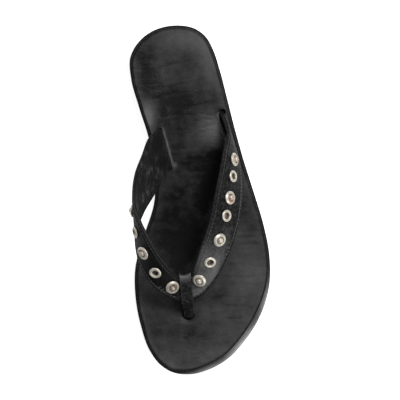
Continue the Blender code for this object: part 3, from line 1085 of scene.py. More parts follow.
    def deck(self, y: Array, middle: Array = 0.0) -> Array:
        """Height of the outsole's top.

        Args:
            y: Along the foot.
            middle: How near to the middle of the foot.

        Returns:
            Heights.
        """
        y = np.asarray(y, float)
        height = self.fore_deck + (self.heel_deck - self.fore_deck) * ease(*self.deck_rise, y)
        share = np.maximum(0.0, self.deck_spring_start - y) / (self.deck_spring_start - self.toe_tip[1])
        dish = self.fore_dish + (self.heel_dish - self.fore_dish) * ease(*self.dish_rise, y)
        return height + self.toe_spring * share * share - dish * middle

    def ground(self, y: Array) -> Array:
        """Height of the underside: flat under heel and ball, arched between, sprung at the toe.

        Args:
            y: Along the foot.

        Returns:
            Heights.
        """
        y = np.asarray(y, float)
        share = np.clip((y - self.arch_span[0]) / (self.arch_span[1] - self.arch_span[0]), 0.0, 1.0)
        spring = np.maximum(0.0, self.ground_spring_start - y) / (self.ground_spring_start - self.toe_tip[1])
        return self.arch_height * np.sin(math.pi * share) ** 2 + self.toe_spring * spring * spring

    def insole_top(self, y: Array) -> Array:
        """Height of the insole's upper face at its rim."""
        return self.deck(y) + self.seat_gap + self.insole_thick

    def loft(self, shell: Shell, rings: Sequence[Array], top: Array, bottom: Array) -> None:
        """Close a layer from its rings and its two faces.

        Args:
            shell: Shell to add to.
            rings: Rim rings from the upper face down.
            top: Grid of the upper face; its rim is the first ring.
            bottom: Grid of the lower face; its rim is the last ring.
        """
        rows, columns = self.rim_places()
        numbers = shell.put(np.stack(rings))
        shell.skin(numbers, around=True)
        for face, ring, flip in ((top, numbers[0], False), (bottom, numbers[-1], True)):
            sheet = np.zeros(face.shape[:2], int)
            sheet[1:-1, 1:-1] = shell.put(face[1:-1, 1:-1])
            sheet[rows, columns] = ring
            shell.skin(sheet, flip=flip)


def raised(plan: Array, height: Array) -> Array:
    """Plan points with heights added."""
    return np.concatenate([plan, np.broadcast_to(height, plan.shape[:-1])[..., None]], axis=-1)


@dataclass
class Outsole:
    """Moulded outsole with a rounded shoulder and a slightly eased bottom edge."""

    sole: SoleShape
    shoulder: Pair = (1.7, 1.9)
    wall: Pair = (1.2, 2.6)
    foot: Pair = (0.9, 1.2)
    round_steps: int = 8
    side_steps: int = 6
    tread_fade: Pair = (0.9, 0.1)
    scuff_start: Pair = (0.0, 0.8)
    scuff_low: Pair = (4.5, 1.5)
    scuff_high: float = 0.45
    # Scuff marks on the outer toe wall and the toe tip, which also paint the highlight of the toe wall on the
    # lit side.
    scuffs_and_highlights: tuple[Swell, ...] = (
        Swell((44.0, -78.0), (9.0, 20.0), 20.0, 0.9),
        Swell((24.0, -108.0), (16.0, 12.0), 32.0, 1.15),
        Swell((-2.0, -126.0), (16.0, 5.0), 12.0, 0.65),
    )

    def rings(self) -> list[Array]:
        """Rim rings from the deck down to the ground.

        Returns:
            Rings of points.
        """
        quarter = np.linspace(0.0, 0.5 * math.pi, self.round_steps + 1)
        wide, high = self.shoulder
        inward, low = self.foot
        rows = [(wide * (1.0 - math.sin(a)), 1.0, high * (math.cos(a) - 1.0)) for a in quarter]
        for k in range(1, self.side_steps):
            share = 1.0 - k / self.side_steps
            rows.append((0.0, share, -high * share + low * (1.0 - share)))
        rows += [(inward * (1.0 - math.cos(a)), 0.0, low * (1.0 - math.sin(a))) for a in quarter]
        made = []
        for inset, share, height in rows:
            plan = self.sole.ring(inset, share)
            y = plan[:, 1]
            level = share * self.sole.deck(y) + (1.0 - share) * self.sole.ground(y)
            made.append(raised(plan, level + height))
        return made

    def build(self) -> Mesh:
        """Mesh of the outsole.

        Returns:
            Closed mesh.
        """
        shell = Shell()
        inset = self.shoulder[0]
        top = self.sole.grid(inset)
        bottom = self.sole.grid(self.foot[0], 0.0)
        middle = self.sole.middle(top[..., 0], top[..., 1], inset)
        self.sole.loft(shell, self.rings(), raised(top, self.sole.deck(top[..., 1], middle)),
                       raised(bottom, self.sole.ground(bottom[..., 1])))
        mesh = shell.mesh("moulded_outsole")
        spots = places(mesh)
        under = spots[:, 2] - self.sole.ground(spots[:, 1])
        marked(mesh, "tread", ease(*self.tread_fade, under))
        lower = self.scuff_high + (1.0 - self.scuff_high) * ease(*self.scuff_low, under)
        graded = ease(*self.scuff_start, under) * lower
        marked(mesh, "scuff_and_highlight", swollen(self.scuffs_and_highlights, spots[:, 0], spots[:, 1]) * graded)
        marked(mesh, "wall", ease(*self.wall, self.sole.deck(spots[:, 1]) - spots[:, 2]))
        return mesh

    def dress(self) -> None:
        """Put the outsole on the sandal."""
        fit_piece("moulded_outsole", self.build(), SoleRubber().material(), "outsole")


@dataclass
class Footbed:
    """Leather footbed with slits for the strap, a hole for the post, and the marks of use."""

    sole: SoleShape
    strap: "StrapShape"
    rim: float = 1.5
    roll: Pair = (0.9, 0.9)
    roll_steps: int = 7
    clearance: float = 0.35
    hole: Pair = (8.4, 6.6)
    hole_place: Pair = (-12.7, -85.0)
    hole_roll: Pair = (1.3, 0.9)
    slack: float = 1.3
    slit_rows: Pair = (2.0, 1.5)
    slit_steps: int = 28
    bite: float = 10.0
    hole_sides: int = 48
    punch: Pair = (4.4, 4.0)
    punch_place: Pair = (26.2, 61.6)
    creases: tuple[Crease, ...] = (
        Crease((-27.0, 96.0), (10.0, 101.0), 1.6, 0.16, 1.1),
        Crease((-22.0, 84.0), (19.0, 88.0), -1.2, 0.14, 1.0),
        Crease((-28.0, 75.0), (6.0, 79.0), 1.4, 0.18, 1.0),
        Crease((-12.0, 68.0), (24.0, 71.0), -1.0, 0.18, 1.0),
        Crease((-22.0, 62.5), (8.0, 61.0), 1.2, 0.14, 0.9),
        Crease((-13.0, 52.0), (4.0, 50.0), 0.8, 0.14, 0.9),
        Crease((4.0, 57.5), (19.0, 56.0), 0.8, 0.4, 0.8),
        Crease((7.0, 52.5), (21.0, 54.0), -0.8, 0.4, 0.8),
        Crease((3.0, 47.0), (18.0, 48.5), 0.7, 0.3, 0.8),
        Crease((8.0, 62.5), (20.0, 60.0), -0.6, 0.36, 0.8),
        Crease((-12.0, 30.0), (20.0, 27.0), 1.0, 0.12, 1.0),
        Crease((14.0, -50.0), (44.0, -54.0), 1.2, 0.12, 1.0),
        Crease((10.0, -57.0), (46.0, -61.0), -1.0, 0.14, 1.0),
        Crease((16.0, -65.0), (45.0, -68.0), 1.0, 0.12, 1.0),
        Crease((2.0, -73.0), (36.0, -77.0), 1.4, 0.1, 1.1),
        Crease((-40.0, -62.0), (-22.0, -80.0), 1.2, 0.1, 1.0),
        Crease((30.0, -14.0), (43.0, -16.0), 0.6, 0.1, 1.5),
        Crease((28.0, -26.0), (46.0, -27.0), -0.5, 0.11, 1.7),
        Crease((26.0, -31.0), (43.0, -32.5), 0.8, 0.14, 1.5),
        Crease((24.0, -35.5), (46.0, -36.5), -0.6, 0.16, 1.7),
        Crease((22.0, -40.0), (42.0, -40.5), 0.6, 0.11, 1.6),
        Crease((13.0, -80.0), (34.0, -83.0), 0.8, 0.14, 1.0),
        Crease((10.0, -88.0), (30.0, -90.0), -0.8, 0.14, 1.0),
        Crease((-19.0, 54.0), (-13.6, 23.0), 0.0, -1.0, 1.0),
        Crease((21.6, 60.0), (27.6, 36.0), 0.0, -0.5, 0.9),
    )
    swells: tuple[Swell, ...] = (
        Swell((-7.0, 92.0), (17.0, 22.0), 4.0, -0.7),
        Swell((6.0, -48.0), (30.0, 24.0), -14.0, -0.5),
        Swell((-26.0, -104.0), (10.0, 11.0), 0.0, -0.35),
        Swell((14.0, 47.0), (9.5, 13.0), 8.0, 1.5),
        Swell((-12.8, 25.4), (1.6, 1.7), 0.0, 1.3),
        Swell((22.8, 59.2), (1.2, 1.3), 0.0, 1.0),
        Swell((-14.2, -90.6), (5.5, 1.6), 0.0, 0.45),
    )
    # Tone spots: dust and wear, with painted shade inside the V, beside and in front of the strap and beside
    # the slits, painted sheen on the heel rim, beside the outer slit and on the outer forefoot, and painted
    # highlights on the slit lips and knobs.
    rubs: tuple[Swell, ...] = (
        Swell((6.0, 117.0), (20.0, 9.0), -4.0, 0.25),
        Swell((20.0, 101.0), (8.0, 19.0), 6.0, 0.36),
        Swell((-26.0, 92.0), (10.0, 26.0), 0.0, -0.24),
        Swell((-2.0, 74.0), (26.0, 10.0), -5.0, -0.22),
        Swell((-10.0, 50.0), (9.0, 22.0), 0.0, -0.2),
        Swell((-8.0, 12.0), (24.0, 26.0), 0.0, -0.12),
        Swell((-15.0, -30.0), (20.0, 25.0), 0.0, -0.36),
        Swell((11.0, 8.0), (8.0, 30.0), -14.0, -0.3),
        Swell((6.0, 26.0), (13.0, 9.0), 0.0, -0.26),
        Swell((18.5, 27.0), (6.5, 10.0), -14.0, -0.38),
        Swell((8.0, -74.0), (14.0, 5.0), 36.0, -0.2),
        Swell((-30.4, 60.5), (4.8, 11.0), -14.0, 1.1),
        Swell((-19.6, 62.0), (4.6, 14.0), -6.0, -0.2),
        Swell((17.0, 48.0), (10.0, 11.0), 4.0, 0.72),
        Swell((25.0, 60.5), (3.4, 3.4), 0.0, -0.6),
        Swell((22.8, 59.2), (1.3, 1.3), 0.0, 1.2),
        Swell((-12.8, 25.4), (1.7, 1.8), 0.0, 0.6),
        Swell((-16.3, 38.5), (1.3, 15.0), 10.0, 0.5),
        Swell((37.0, -58.0), (12.0, 20.0), 14.0, 0.26),
        Swell((36.0, -14.0), (8.0, 17.0), 8.0, -0.24),
        Swell((29.0, -92.0), (7.0, 13.0), 20.0, 0.16),
        Swell((-40.0, -92.0), (9.0, 22.0), 0.0, -0.1),
        Swell((-31.0, -119.0), (9.0, 7.0), -30.0, 0.16),
        Swell((-12.0, -97.0), (18.0, 10.0), 8.0, -0.2),
        Swell((-2.0, -114.0), (14.0, 6.0), 12.0, 0.12),
    )
    rub_base: float = 0.29
    rub_rim: float = 0.2
    rim_fade: float = 2.6
    relief_fade: float = 4.0
    # Creases also tint the tone: painted shade in their troughs, painted highlight on their ridges and lips.
    crease_rub: float = 0.75
    # Dark band along the footbed's edge, drawn in from 0.8 to 2 mm: painted shade of the groove at the rim.
    painted: Pair = (0.8, 2.0)

    def relief(self, x: Array, y: Array) -> Array:
        """Marks of use on the upper face.

        Args:
            x: Across the foot.
            y: Along the foot.

        Returns:
            Heights to add.
        """
        start = self.rim + self.roll[0]
        inside = ease(start, start + self.relief_fade, self.sole.from_deck_edge(x, y))
        u = (x - self.hole_place[0]) / (0.5 * self.hole[0])
        v = (y - self.hole_place[1]) / (0.5 * self.hole[1])
        past = np.maximum(0.0, np.hypot(u, v) - 1.0) * 0.25 * (self.hole[0] + self.hole[1])
        funnel = -self.hole_roll[1] * bell(past, 0.0, self.hole_roll[0])
        return inside * (creased(self.creases, x, y) + swollen(self.swells, x, y)) + funnel

    def rubbed(self, x: Array, y: Array) -> Array:
        """Tone of the upper face: dust and wear, with painted shade and painted sheen.

        Args:
            x: Across the foot.
            y: Along the foot.

        Returns:
            Shares, 0 where it is darkest.
        """
        away = self.sole.from_deck_edge(x, y) - self.rim
        rim = self.rub_rim * np.exp(-np.maximum(0.0, away) / self.rim_fade)
        worn = self.crease_rub * creased(self.creases, x, y) + swollen(self.rubs, x, y)
        return (self.rub_base + rim + worn) * ease(*self.painted, away)

    def rings(self) -> list[Array]:
        """Rim rings from the upper face down.

        Returns:
            Rings of points.
        """
        thick = self.sole.insole_thick
        quarter = np.linspace(0.0, 0.5 * math.pi, self.roll_steps + 1)
        rows = [(self.rim + self.roll[0] * (1.0 - math.sin(a)), thick - self.roll[1] * (1.0 - math.cos(a)))
                for a in quarter]
        rows += [(self.rim, 0.5 * (thick - self.roll[1])), (self.rim, 0.0)]
        made = []
        for inset, height in rows:
            plan = self.sole.ring(inset)
            made.append(raised(plan, self.sole.deck(plan[:, 1]) + self.sole.seat_gap + height))
        return made

    def slits(self) -> Mesh:
        """Shape of the two slits.

        Returns:
            Closed mesh of two bodies.
        """
        shell = Shell()
        depth = self.strap.thick + self.clearance
        last = self.strap.last
        past, into = self.slit_rows
        for first, end, slack in ((-past, into, self.slack), (last - into, last + past, self.clearance)):
            self.strap.band(shell, first, end, self.slit_steps, self.clearance, depth + slack, self.clearance)
        return shell.mesh("slit_cutter")

    def holes(self) -> Mesh:
        """Shape of the post's hole and of the punched end of the outer slit.

        Returns:
            Closed mesh of two bodies.
        """
        shell = Shell()
        turn = full_turn(self.hole_sides)
        for place, size in ((self.hole_place, self.hole), (self.punch_place, self.punch)):
            level = float(self.sole.insole_top(place[1]))
            oval = np.stack([0.5 * size[0] * np.cos(turn), 0.5 * size[1] * np.sin(turn)], axis=1)
            oval += np.array(place)
            ends = [raised(oval, level + side) for side in (self.bite, -self.bite)]
            shell.tube(shell.put(np.stack(ends)))
        return shell.mesh("hole_cutter")

    def build(self) -> Mesh:
        """Mesh of the footbed.

        Returns:
            Closed mesh.
        """
        shell = Shell()
        inset = self.rim + self.roll[0]
        top = self.sole.grid(inset)
        bottom = self.sole.grid(self.rim)
        x, y = top[..., 0], top[..., 1]
        middle = self.sole.middle(x, y, inset)
        height = self.sole.deck(y, middle) + self.sole.seat_gap + self.sole.insole_thick
        under = self.sole.deck(bottom[..., 1], self.sole.middle(bottom[..., 0], bottom[..., 1], self.rim))
        self.sole.loft(shell, self.rings(), raised(top, height + self.relief(x, y)),
                       raised(bottom, under + self.sole.seat_gap))
        mesh = cut_out(cut_out(shell.mesh("leather_footbed"), self.slits()), self.holes())
        spots = places(mesh)
        # Tone mark: wear and dust together with painted shade and painted highlights.
        marked(mesh, "rub", self.rubbed(spots[:, 0], spots[:, 1]))
        return mesh

    def dress(self) -> None:
        """Put the footbed on the sandal."""
        fit_piece("leather_footbed", self.build(), FootbedLeather().material(), "insole")


class StrapRow(NamedTuple):
    """Upper and lower edge of the strap at one row."""

    upper: Triple
    lower: Triple


@dataclass
class StrapShape:
    """Path of the strap, from the slit on the outer side, over the post, to the slit on the inner side."""

    thick: float = 2.6
    crown: float = 0.9
    tail: float = 2.8
    post_row: int = 9
    crown_rows: Pair = (1.0, 3.0)
    measure_steps: int = 2200
    slope_step: float = 0.04
    band_columns: int = 9
    rows: tuple[StrapRow, ...] = (
        StrapRow((26.4, 60.9, 16.2), (33.2, 34.8, 14.8)),
        StrapRow((29.4, 46.0, 34.5), (34.4, 28.2, 19.0)),
        StrapRow((26.2, 36.5, 41.0), (35.5, 19.7, 23.0)),
        StrapRow((20.8, 18.4, 48.0), (34.9, 1.2, 29.5)),
        StrapRow((15.1, 0.4, 52.0), (32.0, -15.2, 34.5)),
        StrapRow((9.6, -17.7, 53.0), (26.4, -31.3, 37.0)),
        StrapRow((1.5, -35.2, 48.5), (18.4, -47.3, 36.3)),
        StrapRow((-5.6, -49.9, 37.3), (6.1, -64.2, 31.2)),
        StrapRow((-8.9, -55.1, 31.3), (-4.4, -72.3, 26.6)),
        StrapRow((-12.6, -56.3, 30.3), (-12.9, -74.4, 25.0)),
        StrapRow((-16.8, -55.6, 31.4), (-24.2, -71.0, 27.0)),
        StrapRow((-22.6, -50.0, 38.6), (-36.0, -62.3, 31.2)),
        StrapRow((-30.4, -38.9, 47.5), (-43.1, -50.7, 33.0)),
        StrapRow((-37.5, -24.5, 53.0), (-46.6, -37.0, 32.8)),
        StrapRow((-42.2, -12.3, 54.0), (-46.8, -27.0, 31.8)),
        StrapRow((-45.3, -2.0, 52.5), (-45.2, -17.0, 29.8)),
        StrapRow((-45.1, 8.9, 49.0), (-40.4, -7.4, 26.8)),
        StrapRow((-42.2, 22.5, 42.5), (-32.4, 3.5, 23.0)),
        StrapRow((-36.3, 34.9, 34.5), (-24.5, 13.4, 18.9)),
        StrapRow((-29.6, 48.0, 24.5), (-20.2, 19.6, 15.8)),
        StrapRow((-22.8, 53.3, 15.9), (-17.6, 23.2, 13.4)),
    )

    def __post_init__(self) -> None:
        """Carry both edges down into the slits and measure the middle line."""
        down = np.array([0.0, 0.0, -self.tail])
        edges = []
        for points in ([row.upper for row in self.rows], [row.lower for row in self.rows]):
            held = np.asarray(points, float)
            edges.append(Curve(np.vstack([held[:1] + down, held, held[-1:] + down])))
        self.upper, self.lower = edges
        self.last = self.upper.last
        self.post_at = self.post_row + 1.0
        self._numbers = np.linspace(0.0, self.last, self.measure_steps)
        line = self.point(self._numbers, np.full(len(self._numbers), 0.5))
        gone = gone_along(line)
        self._gone = gone - np.interp(self.post_at, self._numbers, gone)

    def flat(self, s: Array, t: Array) -> Array:
        """Points on straight lines across the strap.

        Args:
            s: Row numbers.
            t: Shares across, 0 at the upper edge and 1 at the lower.

        Returns:
            Points.
        """
        upper = self.upper.at(s)
        return upper + (self.lower.at(s) - upper) * np.asarray(t, float)[..., None]

    def width(self, s: Array) -> Array:
        """Width of the strap at row numbers."""
        return np.linalg.norm(self.lower.at(s) - self.upper.at(s), axis=-1)

    def normal(self, s: Array, t: Array) -> Array:
        """Directions out of the strap's face.

        Args:
            s: Row numbers.
            t: Shares across.

        Returns:
            Directions of length 1.
        """
        s = np.asarray(s, float)
        along = self.flat(s + self.slope_step, t) - self.flat(s - self.slope_step, t)
        out = np.cross(along, self.lower.at(s) - self.upper.at(s))
        return out / np.linalg.norm(out, axis=-1, keepdims=True)

    def point(self, s: Array, t: Array, lift: Array = 0.0) -> Array:
        """Points on the outer face, or lifted off it.

        Args:
            s: Row numbers.
            t: Shares across.
            lift: Distance out of the face.

        Returns:
            Points.
        """
        s = np.asarray(s, float)
        t = np.asarray(t, float)
        first, full = self.crown_rows
        body = ease(first, full, s) * ease(self.last - first, self.last - full, s)
        height = self.crown * body * (1.0 - (2.0 * t - 1.0) ** 2) + lift
        return self.flat(s, t) + self.normal(s, t) * np.asarray(height)[..., None]

    def distance(self, s: Array) -> Array:
        """Distance along the middle from the post, negative on the outer arm."""
        return np.interp(s, self._numbers, self._gone)

    def row_at(self, distance: Array) -> Array:
        """Row numbers at distances from the post."""
        return np.interp(distance, self._gone, self._numbers)

    def band(
        self, shell: Shell, first: float, end: float, steps: int, lift: float, depth: float, widen: float
    ) -> None:
        """Add a closed length of strap.

        Args:
            shell: Shell to add to.
            first: Row number where it starts.
            end: Row number where it ends.
            steps: Steps along it.
            lift: Distance of its outer face out of the strap's face.
            depth: Its thickness.
            widen: How far its edges stand past the strap's.
        """
        s = np.linspace(first, end, steps + 1)[:, None]
        margin = widen / self.width(s)
        t = -margin + (1.0 + 2.0 * margin) * np.linspace(0.0, 1.0, self.band_columns)
        s = np.broadcast_to(s, t.shape)
        loop = np.concatenate([self.point(s, t, lift), self.point(s, t, lift - depth)[:, ::-1]], axis=1)
        shell.tube(shell.put(loop))


class FittingRow(NamedTuple):
    """Metal fitting and its distance from the post on each arm."""

    kind: FittingKind
    lateral: float
    medial: float


@dataclass
class Fittings:
    """Nickel studs and eyelets in a row along each arm of the strap."""

    strap: StrapShape
    rows: tuple[FittingRow, ...] = (
        FittingRow(FittingKind.STUD, 13.4, 11.0),
        FittingRow(FittingKind.EYELET, 30.8, 29.0),
        FittingRow(FittingKind.STUD, 49.0, 46.4),
        FittingRow(FittingKind.EYELET, 67.2, 62.5),
        FittingRow(FittingKind.STUD, 80.6, 79.0),
        FittingRow(FittingKind.EYELET, 97.0, 95.5),
        FittingRow(FittingKind.STUD, 110.0, 109.5),
    )
    across: Pair = (0.46, 0.5)
    seat: float = 0.2
    sides: int = 56
    stud: tuple[Pair, ...] = (
        (4.6, -0.7), (4.85, -0.1), (5.0, 0.3), (4.85, 0.7), (4.4, 1.05), (3.9, 1.4),
        (3.45, 1.6), (3.05, 1.45), (2.75, 1.05), (2.5, 0.95), (2.25, 1.15), (2.1, 1.6),
        (1.85, 2.3), (1.4, 2.85), (0.8, 3.18), (0.04, 3.3),
    )
    eyelet: tuple[Pair, ...] = (
        (2.35, -1.2), (2.75, -1.2), (2.75, -0.3), (4.15, -0.2), (4.4, 0.35),
        (4.1, 0.8), (3.5, 1.1), (2.9, 1.1), (2.5, 0.8), (2.35, 0.2),
    )
    rusted: tuple[tuple[str, float], ...] = (("nickel_stud_lateral_3", 0.8), ("nickel_stud_lateral_4", 0.5))
    rust_spot: Pair = (1.0, 3.6)
    # Darker ring on the inner arm's first two studs: painted shade.
    darkened_studs: tuple[tuple[str, float], ...] = (("nickel_stud_medial_1", 1.0), ("nickel_stud_medial_2", 0.5))
    darkened_ring: Pair = (2.1, 1.7)
    pocket_radius: float = 3.1
    pocket_depth: float = 2.2
    pocket_top: float = 3.0
    pocket_sides: int = 40
    profile_steps: int = 5
    stud_groove: Pair = (2.55, 0.42)
    bore_dirt: Pair = (0.2, -0.8)
    # Darkening at the foot of each fitting against the strap: tarnish and painted shade.
    foot_tarnish_and_shade: Pair = (0.6, -0.1)
    near_rows: float = 1.2
    near_steps: int = 25
    near_margin: float = 0.5
    turn_step: float = 0.05
    sharp: float = 60.0

    def spots(self) -> list[tuple[FittingKind, str, float]]:
        """Every fitting with its label and row number.

        Returns:
            Kind, label and row number of each.
        """
        found = []
        for arm in Arm:
            counts = {kind: 0 for kind in FittingKind}
            for row in self.rows:
                counts[row.kind] += 1
                label = "%s_%s_%d" % (row.kind.value, arm.name.lower(), counts[row.kind])
                away = row.lateral if arm is Arm.LATERAL else row.medial
                found.append((row.kind, label, float(self.strap.row_at(arm.value * away))))
        return found

    def flange(self, kind: FittingKind) -> float:
        """Radius of a fitting's flange."""
        return self.eyelet[4][0] if kind is FittingKind.EYELET else self.stud[2][0]

    def seated(self, s: float, radius: float) -> Matrix:
        """Placement on the middle of the strap, clear of its face out to a radius.

        Args:
            s: Row number.
            radius: Radius of the fitting's flange.

        Returns:
            Placement in millimetres, with the axis out of the face.
        """
        place = np.array(self.across[0 if s < self.strap.post_at else 1])
        normal = Vector(self.strap.normal(s, place))
        step = self.turn_step
        along = Vector(self.strap.flat(s + step, place) - self.strap.flat(s - step, place))
        side = normal.cross(along).normalized()
        turn = Matrix((side.cross(normal), side, normal)).transposed().to_4x4()
        middle = self.strap.point(s, place)
        share = radius / float(self.strap.width(s))
        beside = np.linspace(-self.near_rows, self.near_rows, self.near_steps)
        around, over = np.meshgrid(s + beside, place + np.array([-share, 0.0, share]))
        reach = self.strap.point(around, over) - middle
        near = np.linalg.norm(reach, axis=-1) <= radius + self.near_margin
        highest = max(0.0, float((reach @ np.array(normal))[near].max()))
        return Matrix.Translation(Vector(middle) + normal * (highest + self.seat)) @ turn

    def turned(self, name: str, kind: FittingKind, seat: Matrix) -> Mesh:
        """Mesh of one fitting, turned from its profile.

        Args:
            name: Name of the mesh.
            kind: Kind of fitting.
            seat: Its placement.

        Returns:
            Closed mesh, in place.
        """
        ring = kind is FittingKind.EYELET
        line = Curve(self.eyelet if ring else self.stud, closed=ring).spread(self.profile_steps)
        if ring:
            line = np.vstack([line, line[:1]])
        radius, height = line[:, :1], line[:, 1:]
        angle = full_turn(self.sides)[None, :]
        grid = np.stack(np.broadcast_arrays(radius * np.cos(angle), radius * np.sin(angle), height), axis=-1)
        spin = np.array(seat.to_3x3())
        grid = grid @ spin.T + np.array(seat.translation)
        # Recess mark: tarnish in the hollows, with painted shade at the foot and on the darkened studs.
        hollow = ease(*self.bore_dirt, height) if ring else bell(radius, *self.stud_groove)
        dull = dict(self.darkened_studs).get(name, 0.0) * bell(radius, *self.darkened_ring)
        dirt = np.maximum(np.maximum(hollow, dull), ease(*self.foot_tarnish_and_shade, height))
        aside, spread = self.rust_spot
        off = np.hypot(radius * np.cos(angle) - aside, radius * np.sin(angle) - aside)
        rust = dict(self.rusted).get(name, 0.0) * bell(off, 0.0, spread)
        shell = Shell()
        kept = slice(0, -1) if ring else slice(None)
        numbers = shell.put(grid[kept], recess=dirt[kept], rust=rust[kept])
        shell.skin(np.vstack([numbers, numbers[:1]]) if ring else numbers, around=True, flip=True)
        if not ring:
            shell.close(numbers[0])
            shell.close(numbers[-1], flip=True)
        return shell.mesh(name)

    def pockets(self) -> Mesh:
        """Holes that the eyelets line.

        Returns:
            Closed mesh of one short cylinder for each eyelet.
        """
        shell = Shell()
        angle = full_turn(self.pocket_sides)
        for kind, _, s in self.spots():
            if kind is FittingKind.EYELET:
                seat = self.seated(s, self.flange(kind))
                spin = np.array(seat.to_3x3())
                ring = np.stack([np.cos(angle), np.sin(angle)], axis=1) * self.pocket_radius
                ends = np.stack([raised(ring, h) for h in (self.pocket_top, -self.pocket_depth)])
                shell.tube(shell.put(ends @ spin.T + np.array(seat.translation)))
        return shell.mesh("eyelet_pockets")

    def dress(self) -> None:
        """Put every fitting on the strap."""
        nickel = Nickel().material()
        for kind, label, s in self.spots():
            name = "nickel_" + label
            mesh = self.turned(name, kind, self.seated(s, self.flange(kind)))
            fit_piece(name, mesh, nickel, label, sharp=self.sharp)


@dataclass
class StrapUpper:
    """Strap of leather and lining, sewn together along both edges."""

    strap: StrapShape
    fittings: Fittings
    leather: float = 1.5
    row_steps: int = 18
    edge_round: float = 0.7
    seam_inset: float = 2.3
    seam_depth: float = 0.34
    seam_width: float = 0.5
    puff: float = 0.16
    puff_from_seam: float = 1.5
    puff_width: float = 0.9
    rib_width: float = 0.55
    rib_share: float = 0.7
    crease_from: float = 2.0
    back_columns: int = 7
    edge_fade: float = 0.5
    back_edge: float = 0.4
    lining_inset: float = 0.35
    pitch: float = 2.7
    thread: float = 0.36
    thread_sides: int = 6
    thread_arch: float = 1.6
    thread_sink: float = 0.16
    post_cover: float = 5.6
    seam_points: int = 3000
    inner_arm_wear: Pair = (0.15, 0.7)
    rear_wear: float = 0.2
    rear_from: Pair = (-66.0, -50.0)
    seam_shade: float = 0.4
    margin: tuple[float, ...] = (
        0.0, 0.05, 0.16, 0.32, 0.5, 0.7, 1.0, 1.35, 1.65, 1.9, 2.1, 2.3, 2.5, 2.7, 2.95, 3.3, 3.8, 4.4, 5.0,
    )
    middle_steps: int = 8
    creases: tuple[Crease, ...] = (
        Crease((-7.5, 6.0), (-10.5, 17.5), 0.6, 0.3, 0.8),
        Crease((-11.5, 12.0), (-15.5, 19.0), 0.4, 0.24, 0.8),
        Crease((-18.0, 4.0), (-23.0, 11.0), 0.8, 0.2, 1.1),
        Crease((-38.0, 2.5), (-42.0, 9.0), 0.5, 0.14, 1.0),
        Crease((7.0, 6.0), (9.5, 17.0), -0.6, 0.3, 0.8),
        Crease((12.0, 13.0), (17.0, 19.5), -0.4, 0.34, 0.8),
        Crease((17.0, 14.0), (21.5, 20.0), -0.4, 0.28, 0.8),
        Crease((19.0, 4.0), (23.0, 12.0), -0.8, 0.2, 1.1),
        Crease((88.0, 3.0), (92.0, 16.0), 0.8, 0.2, 1.2),
        Crease((-88.0, 4.0), (-91.0, 17.0), 0.8, 0.2, 1.2),
        Crease((-104.0, 5.0), (-106.0, 20.0), 0.8, 0.24, 1.2),
        Crease((104.0, 4.0), (107.0, 20.0), 0.8, 0.24, 1.2),
    )
    # Tone spots along the strap: painted highlight on the outer arm's front and in stripes between the inner
    # arm's creases, painted shade on the inner arm near the post and along it, and some wear.
    rubs: tuple[Swell, ...] = (
        Swell((-16.0, 15.5), (22.0, 9.5), 0.0, 1.05),
        Swell((-27.0, 4.0), (14.0, 6.5), 0.0, 0.72),
        Swell((-50.0, 18.0), (14.0, 5.0), 0.0, 0.22),
        Swell((-112.0, 12.0), (26.0, 16.0), 0.0, 0.08),
        Swell((-21.5, 7.5), (1.7, 5.0), 25.0, -0.4),
        Swell((-31.0, 16.0), (9.0, 2.6), 8.0, 0.3),
        Swell((-12.5, 16.4), (5.0, 2.2), 0.0, 0.35),
        Swell((-8.5, 9.0), (1.2, 5.0), 12.0, -0.3),
        Swell((44.0, 10.0), (40.0, 16.0), 0.0, -0.14),
        Swell((9.0, 15.0), (9.0, 10.0), 0.0, -0.4),
        Swell((13.6, 15.4), (0.7, 2.0), -24.0, 0.95),
        Swell((16.2, 15.7), (0.7, 2.0), -24.0, 0.9),
        Swell((18.8, 16.0), (0.7, 1.8), -24.0, 0.7),
    )
    rub_base: float = 0.012
    lower_edge: float = 0.3
    lower_margin: Pair = (0.9, 2.9)
    lining_ends: Triple = (0.0, 0.012, 0.035)
    lining_middle: Pair = (0.07, 0.93)
    lining_columns: int = 25
    lining_round: Pair = (0.5, 0.35)
    lining_creases: int = 26
    fold_seed: int = 7
    fold_reach: float = 112.0
    fold_place: Pair = (0.2, 0.8)
    fold_start: Pair = (1.5, 8.0)
    fold_drift: Pair = (-4.0, 4.0)
    fold_length: Pair = (9.0, 15.0)
    fold_bow: Pair = (-1.2, 1.2)
    fold_depth: Pair = (0.15, 0.4)
    fold_width: Pair = (0.8, 1.4)
    fold_from: float = 1.5
    lining_base: float = 0.42
    lining_back: float = 0.5
    # Lining tone spots: lighter dust blotches, and darker patches toward the inner slit that are painted
    # shade.
    lining_rubs: tuple[Swell, ...] = (
        Swell((113.0, 18.0), (9.0, 6.0), 24.0, 0.55),
        Swell((100.0, 20.0), (10.0, 5.0), 0.0, 0.4),
        Swell((108.0, 9.0), (6.0, 4.0), 40.0, 0.4),
        Swell((128.0, 8.0), (10.0, 14.0), 0.0, -0.3),
        Swell((92.0, 10.0), (8.0, 8.0), 0.0, -0.25),
    )

    def stations(self) -> Array:
        """Row numbers of the strap's meshes, one to a row."""
        return np.linspace(0.0, self.strap.last, self.strap.last * self.row_steps + 1)[:, None]

    def section(self, width: Array) -> tuple[Array, Array]:
        """Columns of the outer face from the upper to the lower edge.

        Args:
            width: Width of the strap at each row.

        Returns:
            Shares across, and distances from the nearer edge.
        """
        margin = np.array(self.margin)
        inner = np.linspace(0.0, 1.0, self.middle_steps + 2)[1:-1]
        low = margin[None, :] / width
        mid = inner[None, :] + (margin[-1] * (1.0 - 2.0 * inner))[None, :] / width
        t = np.concatenate([low, mid, 1.0 - low[:, ::-1]], axis=1)
        return t, np.minimum(t, 1.0 - t) * width

